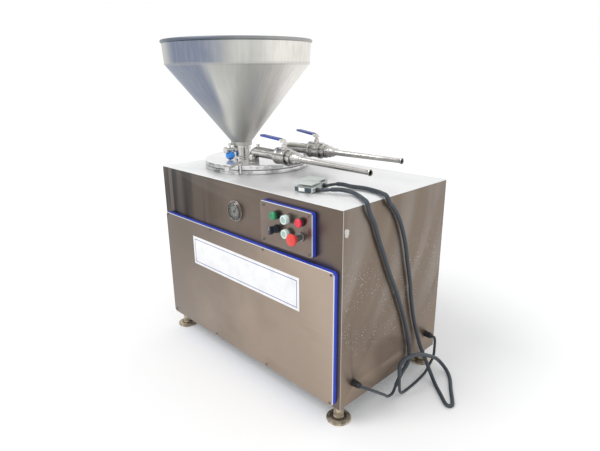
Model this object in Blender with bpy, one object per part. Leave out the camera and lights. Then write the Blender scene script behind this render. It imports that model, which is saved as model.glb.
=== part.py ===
"""Hydraulic sausage stuffer: steel cabinet, piston barrel, hopper lid, two ball valves with filling horns.

Metres, +Z up. The machine is built around the middle of its cabinet, with the floor at Z = 0. One empty shifts
all of it, so that the origin lies on the floor below the middle of the overall box. The control side faces -Y,
and the filling horns point to +X.
"""

import math

import bmesh
import bpy
from mathutils import Matrix, Vector

# Clearances
GAP = 0.0003
RUNNING = 0.0005

# Sides of round pieces
ROUND_LARGE = 32
ROUND = 16
ROUND_SMALL = 10

# Cabinet
WIDTH = 1.000
DEPTH = 0.568
TOP = 0.742
FOOT_HEIGHT = 0.068
SHEET = 0.0015
TOP_SHEET = 0.003
CORNER = 0.002
ANGLE_LEG = 0.040
ANGLE_WALL = 0.004
CHANNEL_HEIGHT = 0.030
CHANNEL_WIDTH = 0.060
FOOT_INSET_X = 0.034
FOOT_INSET_Y = 0.036
FOOT_DISC = 0.042
FOOT_STEM = 0.017

# Lower front panel
PANEL_X = (-0.474, 0.486)
PANEL_Z = (0.083, 0.549)
PANEL_DEPTH = 0.0177
PANEL_CORNER = 0.012
OPENING_LIP = 0.035

# Rear cover
REAR_X = 0.385
REAR_Z = (0.140, 0.640)
LOUVRE_LENGTH = 0.110
LOUVRE_HEIGHT = 0.007
LOUVRE_ROWS = 7
LOUVRE_PITCH = 0.020

# Control plate and its buttons
CONTROL_X = (0.152, 0.394)
CONTROL_Z = (0.569, 0.714)
CONTROL_DEPTH = 0.0147
CONTROL_CORNER = 0.010
BUTTON_X = (0.231, 0.290, 0.347)
BUTTON_Z = (0.677, 0.630)
BUTTON_NECK = 0.0108
BUTTON_NECK_END = 0.0115
BEZEL = 0.0142
BEZEL_DEPTH = 0.0065
BUTTON_SHANK = 0.0090
CAP_TRAVEL = 0.003
MUSHROOM = 0.020
MUSHROOM_REACH = 0.049
MUSHROOM_TRAVEL = 0.005
SELECTOR_REACH = 0.032
SELECTOR_SKIRT = 0.0180
SELECTOR_HALF = (0.0055, 0.0135)
CONTACT_BLOCK = 0.030
CONTACT_DEPTH = 0.045

# Pressure gauge
GAUGE_X = -0.008
GAUGE_Z = 0.640
GAUGE_FLANGE = 0.042
GAUGE_BEZEL = 0.034
GAUGE_DIAL = 0.0302
GAUGE_REACH = 0.014
GAUGE_CAN = 0.030
GAUGE_CAN_DEPTH = 0.034
NEEDLE_ANGLE = math.radians(42)

# Cable glands
GLAND_FRONT = (-0.215, 0.140)
GLAND_REAR = (0.218, 0.144)
GLAND_REACH = 0.030
GLAND_HEX = 0.0125
GLAND_NECK = 0.0085

# Meat barrel, lid and clamps
BARREL_X = -0.221
LID_RADIUS = 0.213
BARREL_BORE = LID_RADIUS - 0.033
BARREL_WALL = 0.007
BARREL_FLOOR = 0.445
BARREL_BASE = 0.012
FLANGE_HEIGHT = 0.016
LID_HEIGHT = 0.018
LID_DISH = 0.008
SEAL_RISE = 0.0015
SEAL_WIDTH = 0.010
SEAL_DEPTH = 0.003
CLAMP_CIRCLE = LID_RADIUS - 0.006
CLAMP_ANGLE = math.radians(57)
CLAMP_NOTCH = 0.0146
CLAMP_STUD = 0.006
CLAMP_NUT = 0.0085
CLAMP_NUT_HEIGHT = 0.034
CLAMP_HEAD = 0.0155
CLAMP_ARM = 0.145
CLAMP_BAR = 0.005

# Piston and hydraulics
PISTON_HEIGHT = 0.050
ROD = 0.030
RAM_BORE = 0.040
RAM_WALL = 0.010
RAM_HEAD = 0.0195
RAM_FLOOR = 0.022
TANK_X = (0.040, 0.440)
TANK_Y = (-0.200, 0.200)
TANK_HEIGHT = 0.230
TANK_WALL = 0.003
TANK_LID = 0.006
MOTOR_X = 0.300
MOTOR_Y = 0.060
MOTOR_RADIUS = 0.070
MOTOR_HEIGHT = 0.250
PUMP_SIDE = 0.084
PUMP_HEIGHT = 0.110
PUMP_COLLAR = 0.032
FAN_HEIGHT = 0.060
TERMINAL_REACH = 0.039
TERMINAL_HALF = 0.035
TERMINAL_Z = (0.070, 0.140)
BLOCK_X = 0.130
BLOCK_Y = -0.100
BLOCK_SIZE = (0.090, 0.070, 0.060)
PORT = 0.012

# Hopper and inlet valve
HOPPER_X = -0.230
HOPPER_Y = -0.070
HOPPER_WALL = 0.002
HOPPER_RIM = 0.288
HOPPER_BEAD = 0.006
HOPPER_BAND_TOP = 0.2830
HOPPER_BAND_FOOT = 0.2780
HOPPER_TOP_Z = 1.231
HOPPER_BAND_Z = HOPPER_TOP_Z - 0.087
HOPPER_NECK_Z = 0.847
HOPPER_NECK = 0.040
HOPPER_COLLAR = 0.0425
INLET_BODY = 0.0325
INLET_BORE = 0.0225
INLET_HEIGHT = 0.0555
INLET_SHAFT_Z = 0.042
INLET_SHAFT = 0.006
INLET_BOSS = 0.012
INLET_BOSS_END = 0.041
INLET_LEVER_Y = 0.060
INLET_END_Y = 0.085
INLET_ROD = 0.004
BALL_KNOB = 0.0185
BALL_DROP = 0.0225
BALL_FLAT = 0.0082

# Outlets
OUTLET_Y = LID_RADIUS - 0.127
OUTLET_X = BARREL_X + OUTLET_Y
OUTLET_SPLAY = math.radians(3)
OUTLET_AXIS_Z = 0.820
PIPE = 0.0205
PIPE_WALL = 0.002
PIPE_BEND = 0.035
PIPE_REACH = {"front": 0.154, "rear": 0.135}
HORN_REACH = {"front": 0.448, "rear": 0.422}
LEVER_REST = {"front": 0.0, "rear": math.radians(14)}
OUTWARD = {"front": -1, "rear": 1}

BLEED_X = 0.030
SIDE_PLUG_X = 0.022
SIDE_PLUG_Z = 0.800

# Ball valve, measured from the end of its pipe
VALVE_FLANGE = 0.0315
VALVE_BODY = 0.0290
VALVE_FLANGE_END = 0.008
VALVE_BODY_END = 0.051
VALVE_RIM_END = 0.063
VALVE_GROOVE_END = 0.071
VALVE_TAIL_END = 0.0785
VALVE_GROOVE = 0.0225
VALVE_THREAD = 0.0235
VALVE_BORE = 0.0175
VALVE_STEM_X = 0.035
VALVE_BALL = 0.0232
VALVE_STEM = 0.0055
VALVE_BOSS_Z = 0.044
LEVER_WIDTH = 0.016
LEVER_WALL = 0.003
LEVER_Z = 0.0500
LEVER_TIP = 0.128
SLEEVE_START = 0.0205
SLEEVE_WALL = 0.0022
NUT_RING = 0.0265
NUT_RING_END = 0.0865
NUT_LIP = 0.003
HORN_COLLAR = 0.0222
HORN_CONE_START = 0.107
HORN_CONE_MIDDLE = (0.0172, 0.120)
HORN_ROOT = 0.0110
HORN_CONE_END = 0.131
HORN_TIP = 0.0085
HORN_FLARE = 0.0110
HORN_WALL = 0.0015
HORN_BORE = 0.0070

# Foot switches lying on the top plate
SWITCH_ANGLE = math.radians(12)
SWITCH_FRONT = (0.2673, -0.1905)
SWITCH_REAR = (0.2413, -0.1305)
SWITCH_WIDTH = 0.068
SWITCH_DEPTH = 0.058
SWITCH_PAD = 0.004
SWITCH_BACK_Z = 0.0235
SWITCH_FRONT_Z = 0.0175
TREADLE_Z = 0.0275
TREADLE_WALL = 0.003
TREADLE_BARREL = 0.003
CABLE = 0.005
SLEEVE = 0.007
CABLE_PITCH = 0.040
BEND_STEP = math.radians(30)
SUBSTEPS = 24

# Routes of the two cables, from foot switch to gland. The middle stretch runs in the thicker sleeve.
FRONT_ROUTE_SWITCH = [(0.3012, -0.1833, 0.7510), (0.3120, -0.1810, 0.7510), (0.3290, -0.1710, 0.7520),
                      (0.3450, -0.1600, 0.7550)]
FRONT_ROUTE_SLEEVE = [(0.3450, -0.1600, 0.7550), (0.3700, -0.1440, 0.7560), (0.3990, -0.1330, 0.7525),
                      (0.4300, -0.1390, 0.7502), (0.4640, -0.1590, 0.7502), (0.4890, -0.1770, 0.7515),
                      (0.5040, -0.1855, 0.7505), (0.5120, -0.1875, 0.7420), (0.5135, -0.1840, 0.7270),
                      (0.5130, -0.1720, 0.7060),
                      (0.5120, -0.1500, 0.6740), (0.5120, -0.1260, 0.6200), (0.5120, -0.0950, 0.5590),
                      (0.5120, -0.0580, 0.4830), (0.5120, -0.0230, 0.4200), (0.5120, 0.0040, 0.3660),
                      (0.5120, 0.0460, 0.2730), (0.5120, 0.0780, 0.1800), (0.5130, 0.0910, 0.1200),
                      (0.5180, 0.0790, 0.0900), (0.5270, 0.0250, 0.0720), (0.5300, -0.0110, 0.0410)]
FRONT_ROUTE_GLAND = [(0.5300, -0.0110, 0.0410), (0.5350, -0.0385, 0.0243), (0.5410, -0.0750, 0.0340),
                     (0.5450, -0.1010, 0.0555), (0.5500, -0.1400, 0.0860), (0.5540, -0.1780, 0.1160),
                     (0.5500, -0.2060, 0.1360), (0.5390, -0.2150, 0.1400), (0.5304, -0.2150, 0.1400)]
REAR_ROUTE_SWITCH = [(0.2752, -0.1233, 0.7520), (0.2859, -0.1210, 0.7520), (0.2970, -0.1110, 0.7550),
                     (0.3060, -0.0900, 0.7560)]
REAR_ROUTE_SLEEVE = [(0.3060, -0.0900, 0.7560), (0.3230, -0.0740, 0.7535), (0.3490, -0.0680, 0.7505),
                     (0.4010, -0.0570, 0.7502), (0.4580, -0.0660, 0.7502), (0.4870, -0.0805, 0.7515),
                     (0.5040, -0.0870, 0.7505), (0.5120, -0.0870, 0.7420), (0.5135, -0.0800, 0.7270),
                     (0.5130, -0.0590, 0.7100),
                     (0.5120, -0.0280, 0.6740), (0.5120, -0.0010, 0.6260), (0.5120, 0.0250, 0.5620),
                     (0.5120, 0.0430, 0.4970), (0.5120, 0.0670, 0.4130), (0.5120, 0.0830, 0.3380),
                     (0.5120, 0.1100, 0.2470), (0.5160, 0.1470, 0.1480), (0.5280, 0.1560, 0.1050),
                     (0.5500, 0.1600, 0.0590), (0.5750, 0.1550, 0.0230), (0.6080, 0.1310, 0.0080),
                     (0.6500, 0.0950, 0.0075), (0.6790, 0.0690, 0.0075), (0.6970, 0.0590, 0.0075),
                     (0.7070, 0.0680, 0.0075), (0.7000, 0.0880, 0.0075), (0.6600, 0.1480, 0.0075),
                     (0.6210, 0.2090, 0.0075), (0.5840, 0.2420, 0.0150), (0.5620, 0.2070, 0.0650),
                     (0.5650, 0.1170, 0.1230), (0.5670, 0.0630, 0.1500), (0.5670, 0.0050, 0.1670),
                     (0.5650, -0.0310, 0.1670), (0.5620, -0.0430, 0.1480), (0.5580, -0.0345, 0.1000)]
REAR_ROUTE_GLAND = [(0.5580, -0.0345, 0.1000), (0.5560, -0.0290, 0.0640), (0.5500, -0.0130, 0.0250),
                    (0.5450, 0.0140, 0.0070), (0.5450, 0.0440, 0.0055), (0.5430, 0.1040, 0.0055),
                    (0.5370, 0.1700, 0.0080), (0.5370, 0.2040, 0.0320), (0.5410, 0.2190, 0.0620),
                    (0.5440, 0.2170, 0.0980), (0.5440, 0.2160, 0.1310),
                    (0.5390, 0.2180, 0.1440), (0.5304, 0.2180, 0.1440)]

# Derived levels and planes
HALF_W = WIDTH / 2
HALF_D = DEPTH / 2
FRONT = -HALF_D
PLATE_FOOT = TOP - TOP_SHEET
WALL_TOP = PLATE_FOOT - GAP
FRAME_FLOOR = FOOT_HEIGHT + ANGLE_WALL + GAP
CHANNEL_TOP = FRAME_FLOOR + CHANNEL_HEIGHT
FLANGE_TOP = TOP + GAP + FLANGE_HEIGHT - GAP
LID_FOOT = FLANGE_TOP + SEAL_RISE
LID_TOP = LID_FOOT + LID_HEIGHT
BARREL_OUTER = BARREL_BORE + BARREL_WALL
PISTON_FOOT = BARREL_FLOOR + RUNNING
RAM_TOP = BARREL_FLOOR - BARREL_BASE - GAP
TANK_NECK = 0.028
RAM_FOOT = CHANNEL_TOP + GAP
TANK_FOOT = CHANNEL_TOP + GAP
TANK_TOP = TANK_FOOT + TANK_HEIGHT
TANK_LID_TOP = TANK_TOP + TANK_LID
CONTROL_FACE = FRONT - GAP - CONTROL_DEPTH
PANEL_FACE = FRONT - GAP - PANEL_DEPTH
INLET_FOOT = LID_TOP + GAP
INLET_TOP = INLET_FOOT + INLET_HEIGHT
INLET_AXIS_Z = LID_TOP + INLET_SHAFT_Z
CLAMP_REACH_Y = CLAMP_CIRCLE * math.sin(CLAMP_ANGLE) + CLAMP_ARM * math.sin(CLAMP_ANGLE)
BOX_X = (HOPPER_X - HOPPER_RIM, HALF_W + GLAND_REACH)
BOX_Y = (HOPPER_Y - HOPPER_RIM, CLAMP_REACH_Y + CLAMP_NUT * math.cos(CLAMP_ANGLE))
MIDDLE = ((BOX_X[0] + BOX_X[1]) / 2, (BOX_Y[0] + BOX_Y[1]) / 2)

ALONG_X = Matrix.Rotation(math.radians(90), 4, "Y")
ALONG_Y = Matrix.Rotation(math.radians(-90), 4, "X")
OUT_OF_FRONT = Matrix.Rotation(math.radians(90), 4, "X")


def clear_scene():
    for old in list(bpy.data.objects):
        bpy.data.objects.remove(old, do_unlink=True)


def material(name, colour, roughness, metallic):
    made = bpy.data.materials.new(name)
    made.use_nodes = True
    shader = made.node_tree.nodes["Principled BSDF"]
    shader.inputs["Base Color"].default_value = (*colour, 1)
    shader.inputs["Roughness"].default_value = roughness
    shader.inputs["Metallic"].default_value = metallic
    return made


def empty(name, parent, location=(0, 0, 0), turn_z=0.0):
    made = bpy.data.objects.new(name, None)
    bpy.context.collection.objects.link(made)
    made.parent = parent
    made.location = location
    made.rotation_euler = (0, 0, turn_z)
    return made


def piece(name, shape, surface, parent, location=(0, 0, 0), turn_z=0.0):
    """An object from a bmesh, with faces pointing out and round sides shaded smooth."""
    bmesh.ops.recalc_face_normals(shape, faces=shape.faces)
    mesh = bpy.data.meshes.new(name)
    shape.to_mesh(mesh)
    shape.free()
    mesh.materials.append(surface)
    mesh.shade_smooth()
    mesh.set_sharp_from_angle(angle=math.radians(32))
    made = bpy.data.objects.new(name, mesh)
    bpy.context.collection.objects.link(made)
    made.parent = parent
    made.location = location
    made.rotation_euler = (0, 0, turn_z)
    return made


def combine(target, shape, operation):
    """Cuts a shape from an object or joins it on, in the object's own coordinates."""
    tool = piece(target.name + "_tool", shape, target.data.materials[0], target)
    tool.hide_render = True
    tool.display_type = "WIRE"
    step = target.modifiers.new(operation.lower(), "BOOLEAN")
    step.operation = operation
    step.solver = "EXACT"
    step.object = tool
    return target


def cut(target, shape):
    return combine(target, shape, "DIFFERENCE")


def join(target, shape):
    return combine(target, shape, "UNION")


def bevel(target, width, segments=2):
    step = target.modifiers.new("edges", "BEVEL")
    step.width = width
    step.segments = segments
    step.limit_method = "ANGLE"
    step.angle_limit = math.radians(50)
    return target


def place(x, y, z, turn=None):
    moved = Matrix.Translation((x, y, z))
    return moved @ turn if turn else moved


def box(shape, low, high):
    size = [b - a for a, b in zip(low, high)]
    middle = [(a + b) / 2 for a, b in zip(low, high)]
    matrix = Matrix.Translation(middle) @ Matrix.Diagonal((*size, 1))
    bmesh.ops.create_cube(shape, size=1, matrix=matrix)
    return shape


def turned(shape, profile, segments, matrix=None):
    """Spins a (radius, height) profile about Z. Ends on the axis close it, and a ring's profile is a loop."""
    corners = [shape.verts.new((radius, 0, height)) for radius, height in profile]
    edges = [shape.edges.new(pair) for pair in zip(corners, corners[1:])]
    if profile[0][0] > 0:
        edges.append(shape.edges.new((corners[-1], corners[0])))
    before = set(shape.verts) - set(corners)
    bmesh.ops.spin(shape, geom=corners + edges, cent=(0, 0, 0), axis=(0, 0, 1), dvec=(0, 0, 0),
                   angle=math.tau, steps=segments, use_merge=True)
    fresh = [vert for vert in shape.verts if vert not in before]
    bmesh.ops.remove_doubles(shape, verts=fresh, dist=1e-6)
    if matrix:
        fresh = [vert for vert in shape.verts if vert not in before]
        bmesh.ops.transform(shape, matrix=matrix, verts=fresh)
    return shape


def plug(shape, radius, low, high, segments, matrix=None):
    """A turned solid cylinder, whose sides line up with those of other turned pieces."""
    return turned(shape, [(0, high), (radius, high), (radius, low), (0, low)], segments, matrix)


def rod(shape, radius, start, end, segments=16, end_radius=None):
    """A solid round bar, or a cone, from start to end."""
    run = Vector(end) - Vector(start)
    turn = run.to_track_quat("Z", "Y").to_matrix().to_4x4()
    matrix = Matrix.Translation((Vector(start) + Vector(end)) / 2) @ turn
    bmesh.ops.create_cone(shape, cap_ends=True, segments=segments, radius1=radius,
                          radius2=radius if end_radius is None else end_radius, depth=run.length, matrix=matrix)
    return shape


def prism(shape, outline, run):
    """A flat outline pushed along a vector."""
    face = shape.faces.new([shape.verts.new(point) for point in outline])
    pushed = bmesh.ops.extrude_face_region(shape, geom=[face])
    moving = [part for part in pushed["geom"] if isinstance(part, bmesh.types.BMVert)]
    bmesh.ops.translate(shape, vec=run, verts=moving)
    return shape


def loops(shape, rings, closed=True):
    """Skins rings of equal count one after another, back to the first one or with a face on both ends."""
    made = [[shape.verts.new(point) for point in ring] for ring in rings]
    pairs = list(zip(made, made[1:]))
    if closed:
        pairs.append((made[-1], made[0]))
    else:
        shape.faces.new(made[0])
        shape.faces.new(made[-1])
    count = len(made[0])
    for one, two in pairs:
        for i in range(count):
            j = (i + 1) % count
            shape.faces.new((one[i], one[j], two[j], two[i]))
    return shape


def rounded(x_range, z_range, radius, y, steps=4):
    """A rectangle with round corners in a plane of constant Y."""
    points = []
    for quarter, (x, z) in enumerate(((x_range[1] - radius, z_range[1] - radius),
                                      (x_range[0] + radius, z_range[1] - radius),
                                      (x_range[0] + radius, z_range[0] + radius),
                                      (x_range[1] - radius, z_range[0] + radius))):
        for step in range(steps + 1):
            angle = math.radians(90) * (quarter + step / steps)
            points.append((x + radius * math.cos(angle), y, z + radius * math.sin(angle)))
    return points


def inset_range(span, margin):
    return (span[0] + margin, span[1] - margin)


def ring_points(centre, across, up, radius, segments):
    points = []
    for i in range(segments):
        angle = math.tau * i / segments
        points.append(centre + across * (radius * math.cos(angle)) + up * (radius * math.sin(angle)))
    return points


def smooth_points(route, pitch):
    """Points along a smooth curve through the route's own points, closer together where it bends.

    The first and the last stretch are straight."""
    knots = [Vector(point) for point in route]
    knots = [knots[0] * 2 - knots[1]] + knots + [knots[-1] * 2 - knots[-2]]
    fine = []
    for a, b, c, d in zip(knots, knots[1:], knots[2:], knots[3:]):
        for step in range(SUBSTEPS):
            t = step / SUBSTEPS
            fine.append(0.5 * (2 * b + (c - a) * t + (2 * a - 5 * b + 4 * c - d) * t ** 2
                               + (3 * b - a - 3 * c + d) * t ** 3))
    fine.append(knots[-2])
    points = [fine[0]]
    travelled = 0.0
    turning = 0.0
    first = SUBSTEPS
    last = len(fine) - 1 - SUBSTEPS
    for i, (a, b, c) in enumerate(zip(fine, fine[1:], fine[2:]), 1):
        travelled += (b - a).length
        turning += (b - a).angle(c - b, 0.0)
        if i in (first, last) or first < i < last and (travelled > pitch or turning > BEND_STEP):
            points.append(b.copy())
            travelled = 0.0
            turning = 0.0
    points.append(fine[-1])
    return points


def cord(name, runs, surface, parent):
    """A cable as one tube, which changes its radius from each (route, radius, pitch) to the next."""
    curve = bpy.data.curves.new(name, "CURVE")
    curve.dimensions = "3D"
    curve.bevel_depth = 1.0
    curve.bevel_resolution = 2
    curve.use_fill_caps = True
    spots = []
    for route, radius, pitch in runs:
        spots += [(point, radius) for point in smooth_points(route, pitch)]
    line = curve.splines.new("POLY")
    line.points.add(len(spots) - 1)
    for spot, (point, radius) in zip(line.points, spots):
        spot.co = (*point, 1)
        spot.radius = radius
    curve.materials.append(surface)
    made = bpy.data.objects.new(name, curve)
    bpy.context.collection.objects.link(made)
    made.parent = parent
    return made


def pull_back(route, first=0.0, last=0.0):
    """The route with its ends drawn in, so that a tube keeps clear of what it meets."""
    points = [Vector(point) for point in route]
    points[0] += (points[1] - points[0]).normalized() * first
    points[-1] += (points[-2] - points[-1]).normalized() * last
    return points


def make_base_frame(root, steel):
    """Angle iron ring and corner posts, with channels welded across that carry the cylinder and the tank."""
    x = HALF_W - SHEET - GAP
    y = HALF_D - SHEET - GAP
    low = FOOT_HEIGHT
    section = ((0, low), (0, low + ANGLE_LEG), (ANGLE_WALL, low + ANGLE_LEG), (ANGLE_WALL, low + ANGLE_WALL),
               (ANGLE_LEG, low + ANGLE_WALL), (ANGLE_LEG, low))
    rings = []
    for inset, z in section:
        rings.append([(x - inset, y - inset, z), (inset - x, y - inset, z), (inset - x, inset - y, z),
                      (x - inset, inset - y, z)])
    frame = piece("base_frame", loops(bmesh.new(), rings), steel, root)
    weld = ANGLE_WALL / 4
    foot = FOOT_HEIGHT + ANGLE_WALL - weld
    legs = ((0, 0), (ANGLE_LEG, 0), (ANGLE_LEG, ANGLE_WALL), (ANGLE_WALL, ANGLE_WALL), (ANGLE_WALL, ANGLE_LEG),
            (0, ANGLE_LEG))
    for side_x in (-1, 1):
        for side_y in (-1, 1):
            corner_x = side_x * (x - weld)
            corner_y = side_y * (y - weld)
            outline = [(corner_x - side_x * a, corner_y - side_y * b, foot) for a, b in legs]
            join(frame, prism(bmesh.new(), outline, (0, 0, WALL_TOP - foot)))
    reach = y - ANGLE_WALL / 2
    wall = ANGLE_WALL
    for middle in (BARREL_X, TANK_X[0] + CHANNEL_WIDTH, TANK_X[1] - CHANNEL_WIDTH):
        a = middle - CHANNEL_WIDTH / 2
        b = middle + CHANNEL_WIDTH / 2
        hat = ((a, foot), (a, CHANNEL_TOP), (b, CHANNEL_TOP), (b, foot), (b - wall, foot),
               (b - wall, CHANNEL_TOP - wall), (a + wall, CHANNEL_TOP - wall), (a + wall, foot))
        join(frame, prism(bmesh.new(), [(px, -reach, pz) for px, pz in hat], (0, 2 * reach, 0)))


def make_cabinet_shell(root, steel):
    """Left, back and right walls folded from one sheet, open to the front."""
    x = HALF_W
    front = FRONT + SHEET + GAP
    outline = [(-x, front), (SHEET - x, front)]
    for side, start in ((-1, 180), (1, 90)):
        for step in range(5):
            angle = math.radians(start - 90 * step / 4)
            bend = CORNER - SHEET
            outline.append((side * (x - CORNER) + bend * math.cos(angle),
                            HALF_D - CORNER + bend * math.sin(angle)))
    outline += [(x - SHEET, front), (x, front)]
    for side, start in ((1, 0), (-1, 90)):
        for step in range(5):
            angle = math.radians(start + 90 * step / 4)
            outline.append((side * (x - CORNER) + CORNER * math.cos(angle),
                            HALF_D - CORNER + CORNER * math.sin(angle)))
    shape = prism(bmesh.new(), [(a, b, FOOT_HEIGHT) for a, b in outline], (0, 0, WALL_TOP - FOOT_HEIGHT))
    shell = piece("cabinet_shell", shape, steel, root)
    lip = OPENING_LIP
    cut(shell, box(bmesh.new(), (lip - REAR_X, HALF_D - CORNER, REAR_Z[0] + lip),
                   (REAR_X - lip, HALF_D + CORNER, REAR_Z[1] - lip)))
    holes = bmesh.new()
    for y, z in (GLAND_FRONT, GLAND_REAR):
        plug(holes, GLAND_NECK + GAP, -CORNER, CORNER, ROUND_SMALL, place(x, y, z, ALONG_X))
    cut(shell, holes)


def make_front_sheet(root, steel):
    """Front wall with its service opening and the holes for gauge and buttons."""
    shape = box(bmesh.new(), (-HALF_W, FRONT, FOOT_HEIGHT), (HALF_W, FRONT + SHEET, WALL_TOP))
    sheet = piece("front_sheet", shape, steel, root)
    lip = OPENING_LIP
    holes = bmesh.new()
    deep = (FRONT - SHEET, FRONT + 2 * SHEET)
    box(holes, (PANEL_X[0] + lip, deep[0], PANEL_Z[0] + lip), (PANEL_X[1] - lip, deep[1], PANEL_Z[1] - lip))
    span_x = inset_range(CONTROL_X, CONTROL_CORNER + SHEET)
    span_z = inset_range(CONTROL_Z, CONTROL_CORNER + SHEET)
    box(holes, (span_x[0], deep[0], span_z[0]), (span_x[1], deep[1], span_z[1]))
    plug(holes, GAUGE_CAN + GAP, -CORNER, CORNER, ROUND, place(GAUGE_X, FRONT, GAUGE_Z, OUT_OF_FRONT))
    cut(sheet, holes)


def make_top_plate(root, steel):
    shape = box(bmesh.new(), (-HALF_W, -HALF_D, PLATE_FOOT), (HALF_W, HALF_D, TOP))
    plate = piece("top_plate", shape, steel, root)
    cut(plate, plug(bmesh.new(), BARREL_OUTER + RUNNING, PLATE_FOOT - SHEET, TOP + SHEET, ROUND_LARGE,
                    place(BARREL_X, 0, 0)))


def make_rear_cover(root, steel):
    """Service cover with two columns of cooling slots."""
    y = HALF_D + GAP
    shape = prism(bmesh.new(), rounded((-REAR_X, REAR_X), REAR_Z, CORNER, y, 2), (0, SHEET, 0))
    cover = piece("rear_cover", shape, steel, root)
    slots = bmesh.new()
    middle_z = (REAR_Z[0] + REAR_Z[1]) / 2
    for side in (-1, 1):
        for row in range(LOUVRE_ROWS):
            z = middle_z + (row - (LOUVRE_ROWS - 1) / 2) * LOUVRE_PITCH
            x = side * REAR_X / 2
            box(slots, (x - LOUVRE_LENGTH / 2, y - SHEET, z - LOUVRE_HEIGHT / 2),
                (x + LOUVRE_LENGTH / 2, y + 2 * SHEET, z + LOUVRE_HEIGHT / 2))
    cut(cover, slots)


def make_pan(name, root, steel, x_range, z_range, corner, face_y):
    """A shallow tray with its back open, standing on the front wall."""
    shape = prism(bmesh.new(), rounded(x_range, z_range, corner, face_y), (0, FRONT - GAP - face_y, 0))
    pan = piece(name, shape, steel, root)
    inner = rounded(inset_range(x_range, SHEET), inset_range(z_range, SHEET), corner - SHEET, face_y + SHEET)
    return cut(pan, prism(bmesh.new(), inner, (0, FRONT - face_y, 0)))


def make_lower_panel(root, steel):
    make_pan("lower_panel", root, steel, PANEL_X, PANEL_Z, PANEL_CORNER, PANEL_FACE)


def make_control_plate(root, steel):
    plate = make_pan("control_plate", root, steel, CONTROL_X, CONTROL_Z, CONTROL_CORNER, CONTROL_FACE)
    holes = bmesh.new()
    for x in BUTTON_X:
        for z in BUTTON_Z:
            facing = place(x, CONTROL_FACE, z, OUT_OF_FRONT)
            plug(holes, BUTTON_NECK + GAP, -CORNER, CORNER, ROUND_SMALL, facing)
    cut(plate, holes)


def make_feet(root, steel):
    """Four wide discs on smooth stems."""
    top = FOOT_HEIGHT - GAP
    profile = [(0, top), (FOOT_STEM, top), (FOOT_STEM, 0.018), (FOOT_STEM + 0.006, 0.0125),
               (FOOT_DISC - 0.003, 0.008), (FOOT_DISC, 0.006), (FOOT_DISC, 0), (0, 0)]
    for across, side_x in (("left", -1), ("right", 1)):
        for along, side_y in (("front", -1), ("rear", 1)):
            spot = (side_x * (HALF_W - FOOT_INSET_X), side_y * (HALF_D - FOOT_INSET_Y), 0)
            piece(f"foot_{along}_{across}", turned(bmesh.new(), profile, ROUND), steel, root, spot)


def make_gauge(root, steel, glass, dark):
    """Flush pressure gauge: case with flange and bezel, needle and glass."""
    spot = (GAUGE_X, FRONT - GAP, GAUGE_Z)
    bezel_in = GAUGE_DIAL + GAP
    floor = 0.003
    profile = [(0, floor), (bezel_in, floor), (bezel_in, GAUGE_REACH), (GAUGE_BEZEL - 0.001, GAUGE_REACH),
               (GAUGE_BEZEL, GAUGE_REACH - 0.002), (GAUGE_BEZEL, 0.002), (GAUGE_FLANGE, 0.0015),
               (GAUGE_FLANGE, 0), (GAUGE_CAN, 0), (GAUGE_CAN, -GAUGE_CAN_DEPTH), (0, -GAUGE_CAN_DEPTH)]
    piece("gauge_case", turned(bmesh.new(), profile, ROUND, OUT_OF_FRONT), steel, root, spot)
    pane = plug(bmesh.new(), GAUGE_DIAL, GAUGE_REACH - 0.003, GAUGE_REACH - 0.001, ROUND, OUT_OF_FRONT)
    piece("gauge_glass", pane, glass, root, spot)
    hub_out = floor + GAP
    shape = rod(bmesh.new(), 0.0035, (0, -hub_out, 0), (0, -hub_out - 0.0030, 0), 16)
    needle = piece("gauge_needle", shape, dark, root, spot)
    blade = ((-0.0012, -0.009), (0.0012, -0.009), (0.0012, 0), (0.0003, 0.024), (-0.0003, 0.024), (-0.0012, 0))
    turn = Matrix.Rotation(NEEDLE_ANGLE, 3, "Y")
    outline = [turn @ Vector((x, -hub_out - 0.0008, z)) for x, z in blade]
    join(needle, prism(bmesh.new(), outline, (0, -0.0010, 0)))


def button_spot(column, row):
    return (BUTTON_X[column], CONTROL_FACE - GAP, BUTTON_Z[row])


def make_button_bodies(root, dark):
    """Bezel and threaded neck in the plate, with the contact block behind it, six times."""
    deep = BUTTON_NECK_END
    bore = BUTTON_SHANK + 2 * RUNNING
    floor = 0.0015 - deep
    profile = [(0, floor), (bore, floor), (bore, BEZEL_DEPTH), (BEZEL - 0.0012, BEZEL_DEPTH),
               (BEZEL, BEZEL_DEPTH - 0.0012), (BEZEL, 0), (BUTTON_NECK, 0), (BUTTON_NECK, -deep), (0, -deep)]
    half = CONTACT_BLOCK / 2
    names = (("green", "selector"), ("white_upper", "white_lower"), ("red", "mushroom"))
    for column in range(3):
        for row in range(2):
            spot = button_spot(column, row)
            shape = turned(bmesh.new(), profile, ROUND_SMALL, OUT_OF_FRONT)
            body = piece("button_body_" + names[column][row], shape,
                         dark, root, spot)
            join(body, box(bmesh.new(), (-half, deep - 0.001, -half), (half, deep + CONTACT_DEPTH, half)))


def make_push_button(name, root, surface, column, row, radius, reach):
    head = BEZEL_DEPTH + CAP_TRAVEL + RUNNING
    profile = [(0, reach), (radius - 0.003, reach), (radius, reach - 0.002), (radius, head),
               (BUTTON_SHANK, head), (BUTTON_SHANK, 0), (0, 0)]
    shape = turned(bmesh.new(), profile, ROUND_SMALL, OUT_OF_FRONT)
    piece(name, shape, surface, root, button_spot(column, row))


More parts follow.
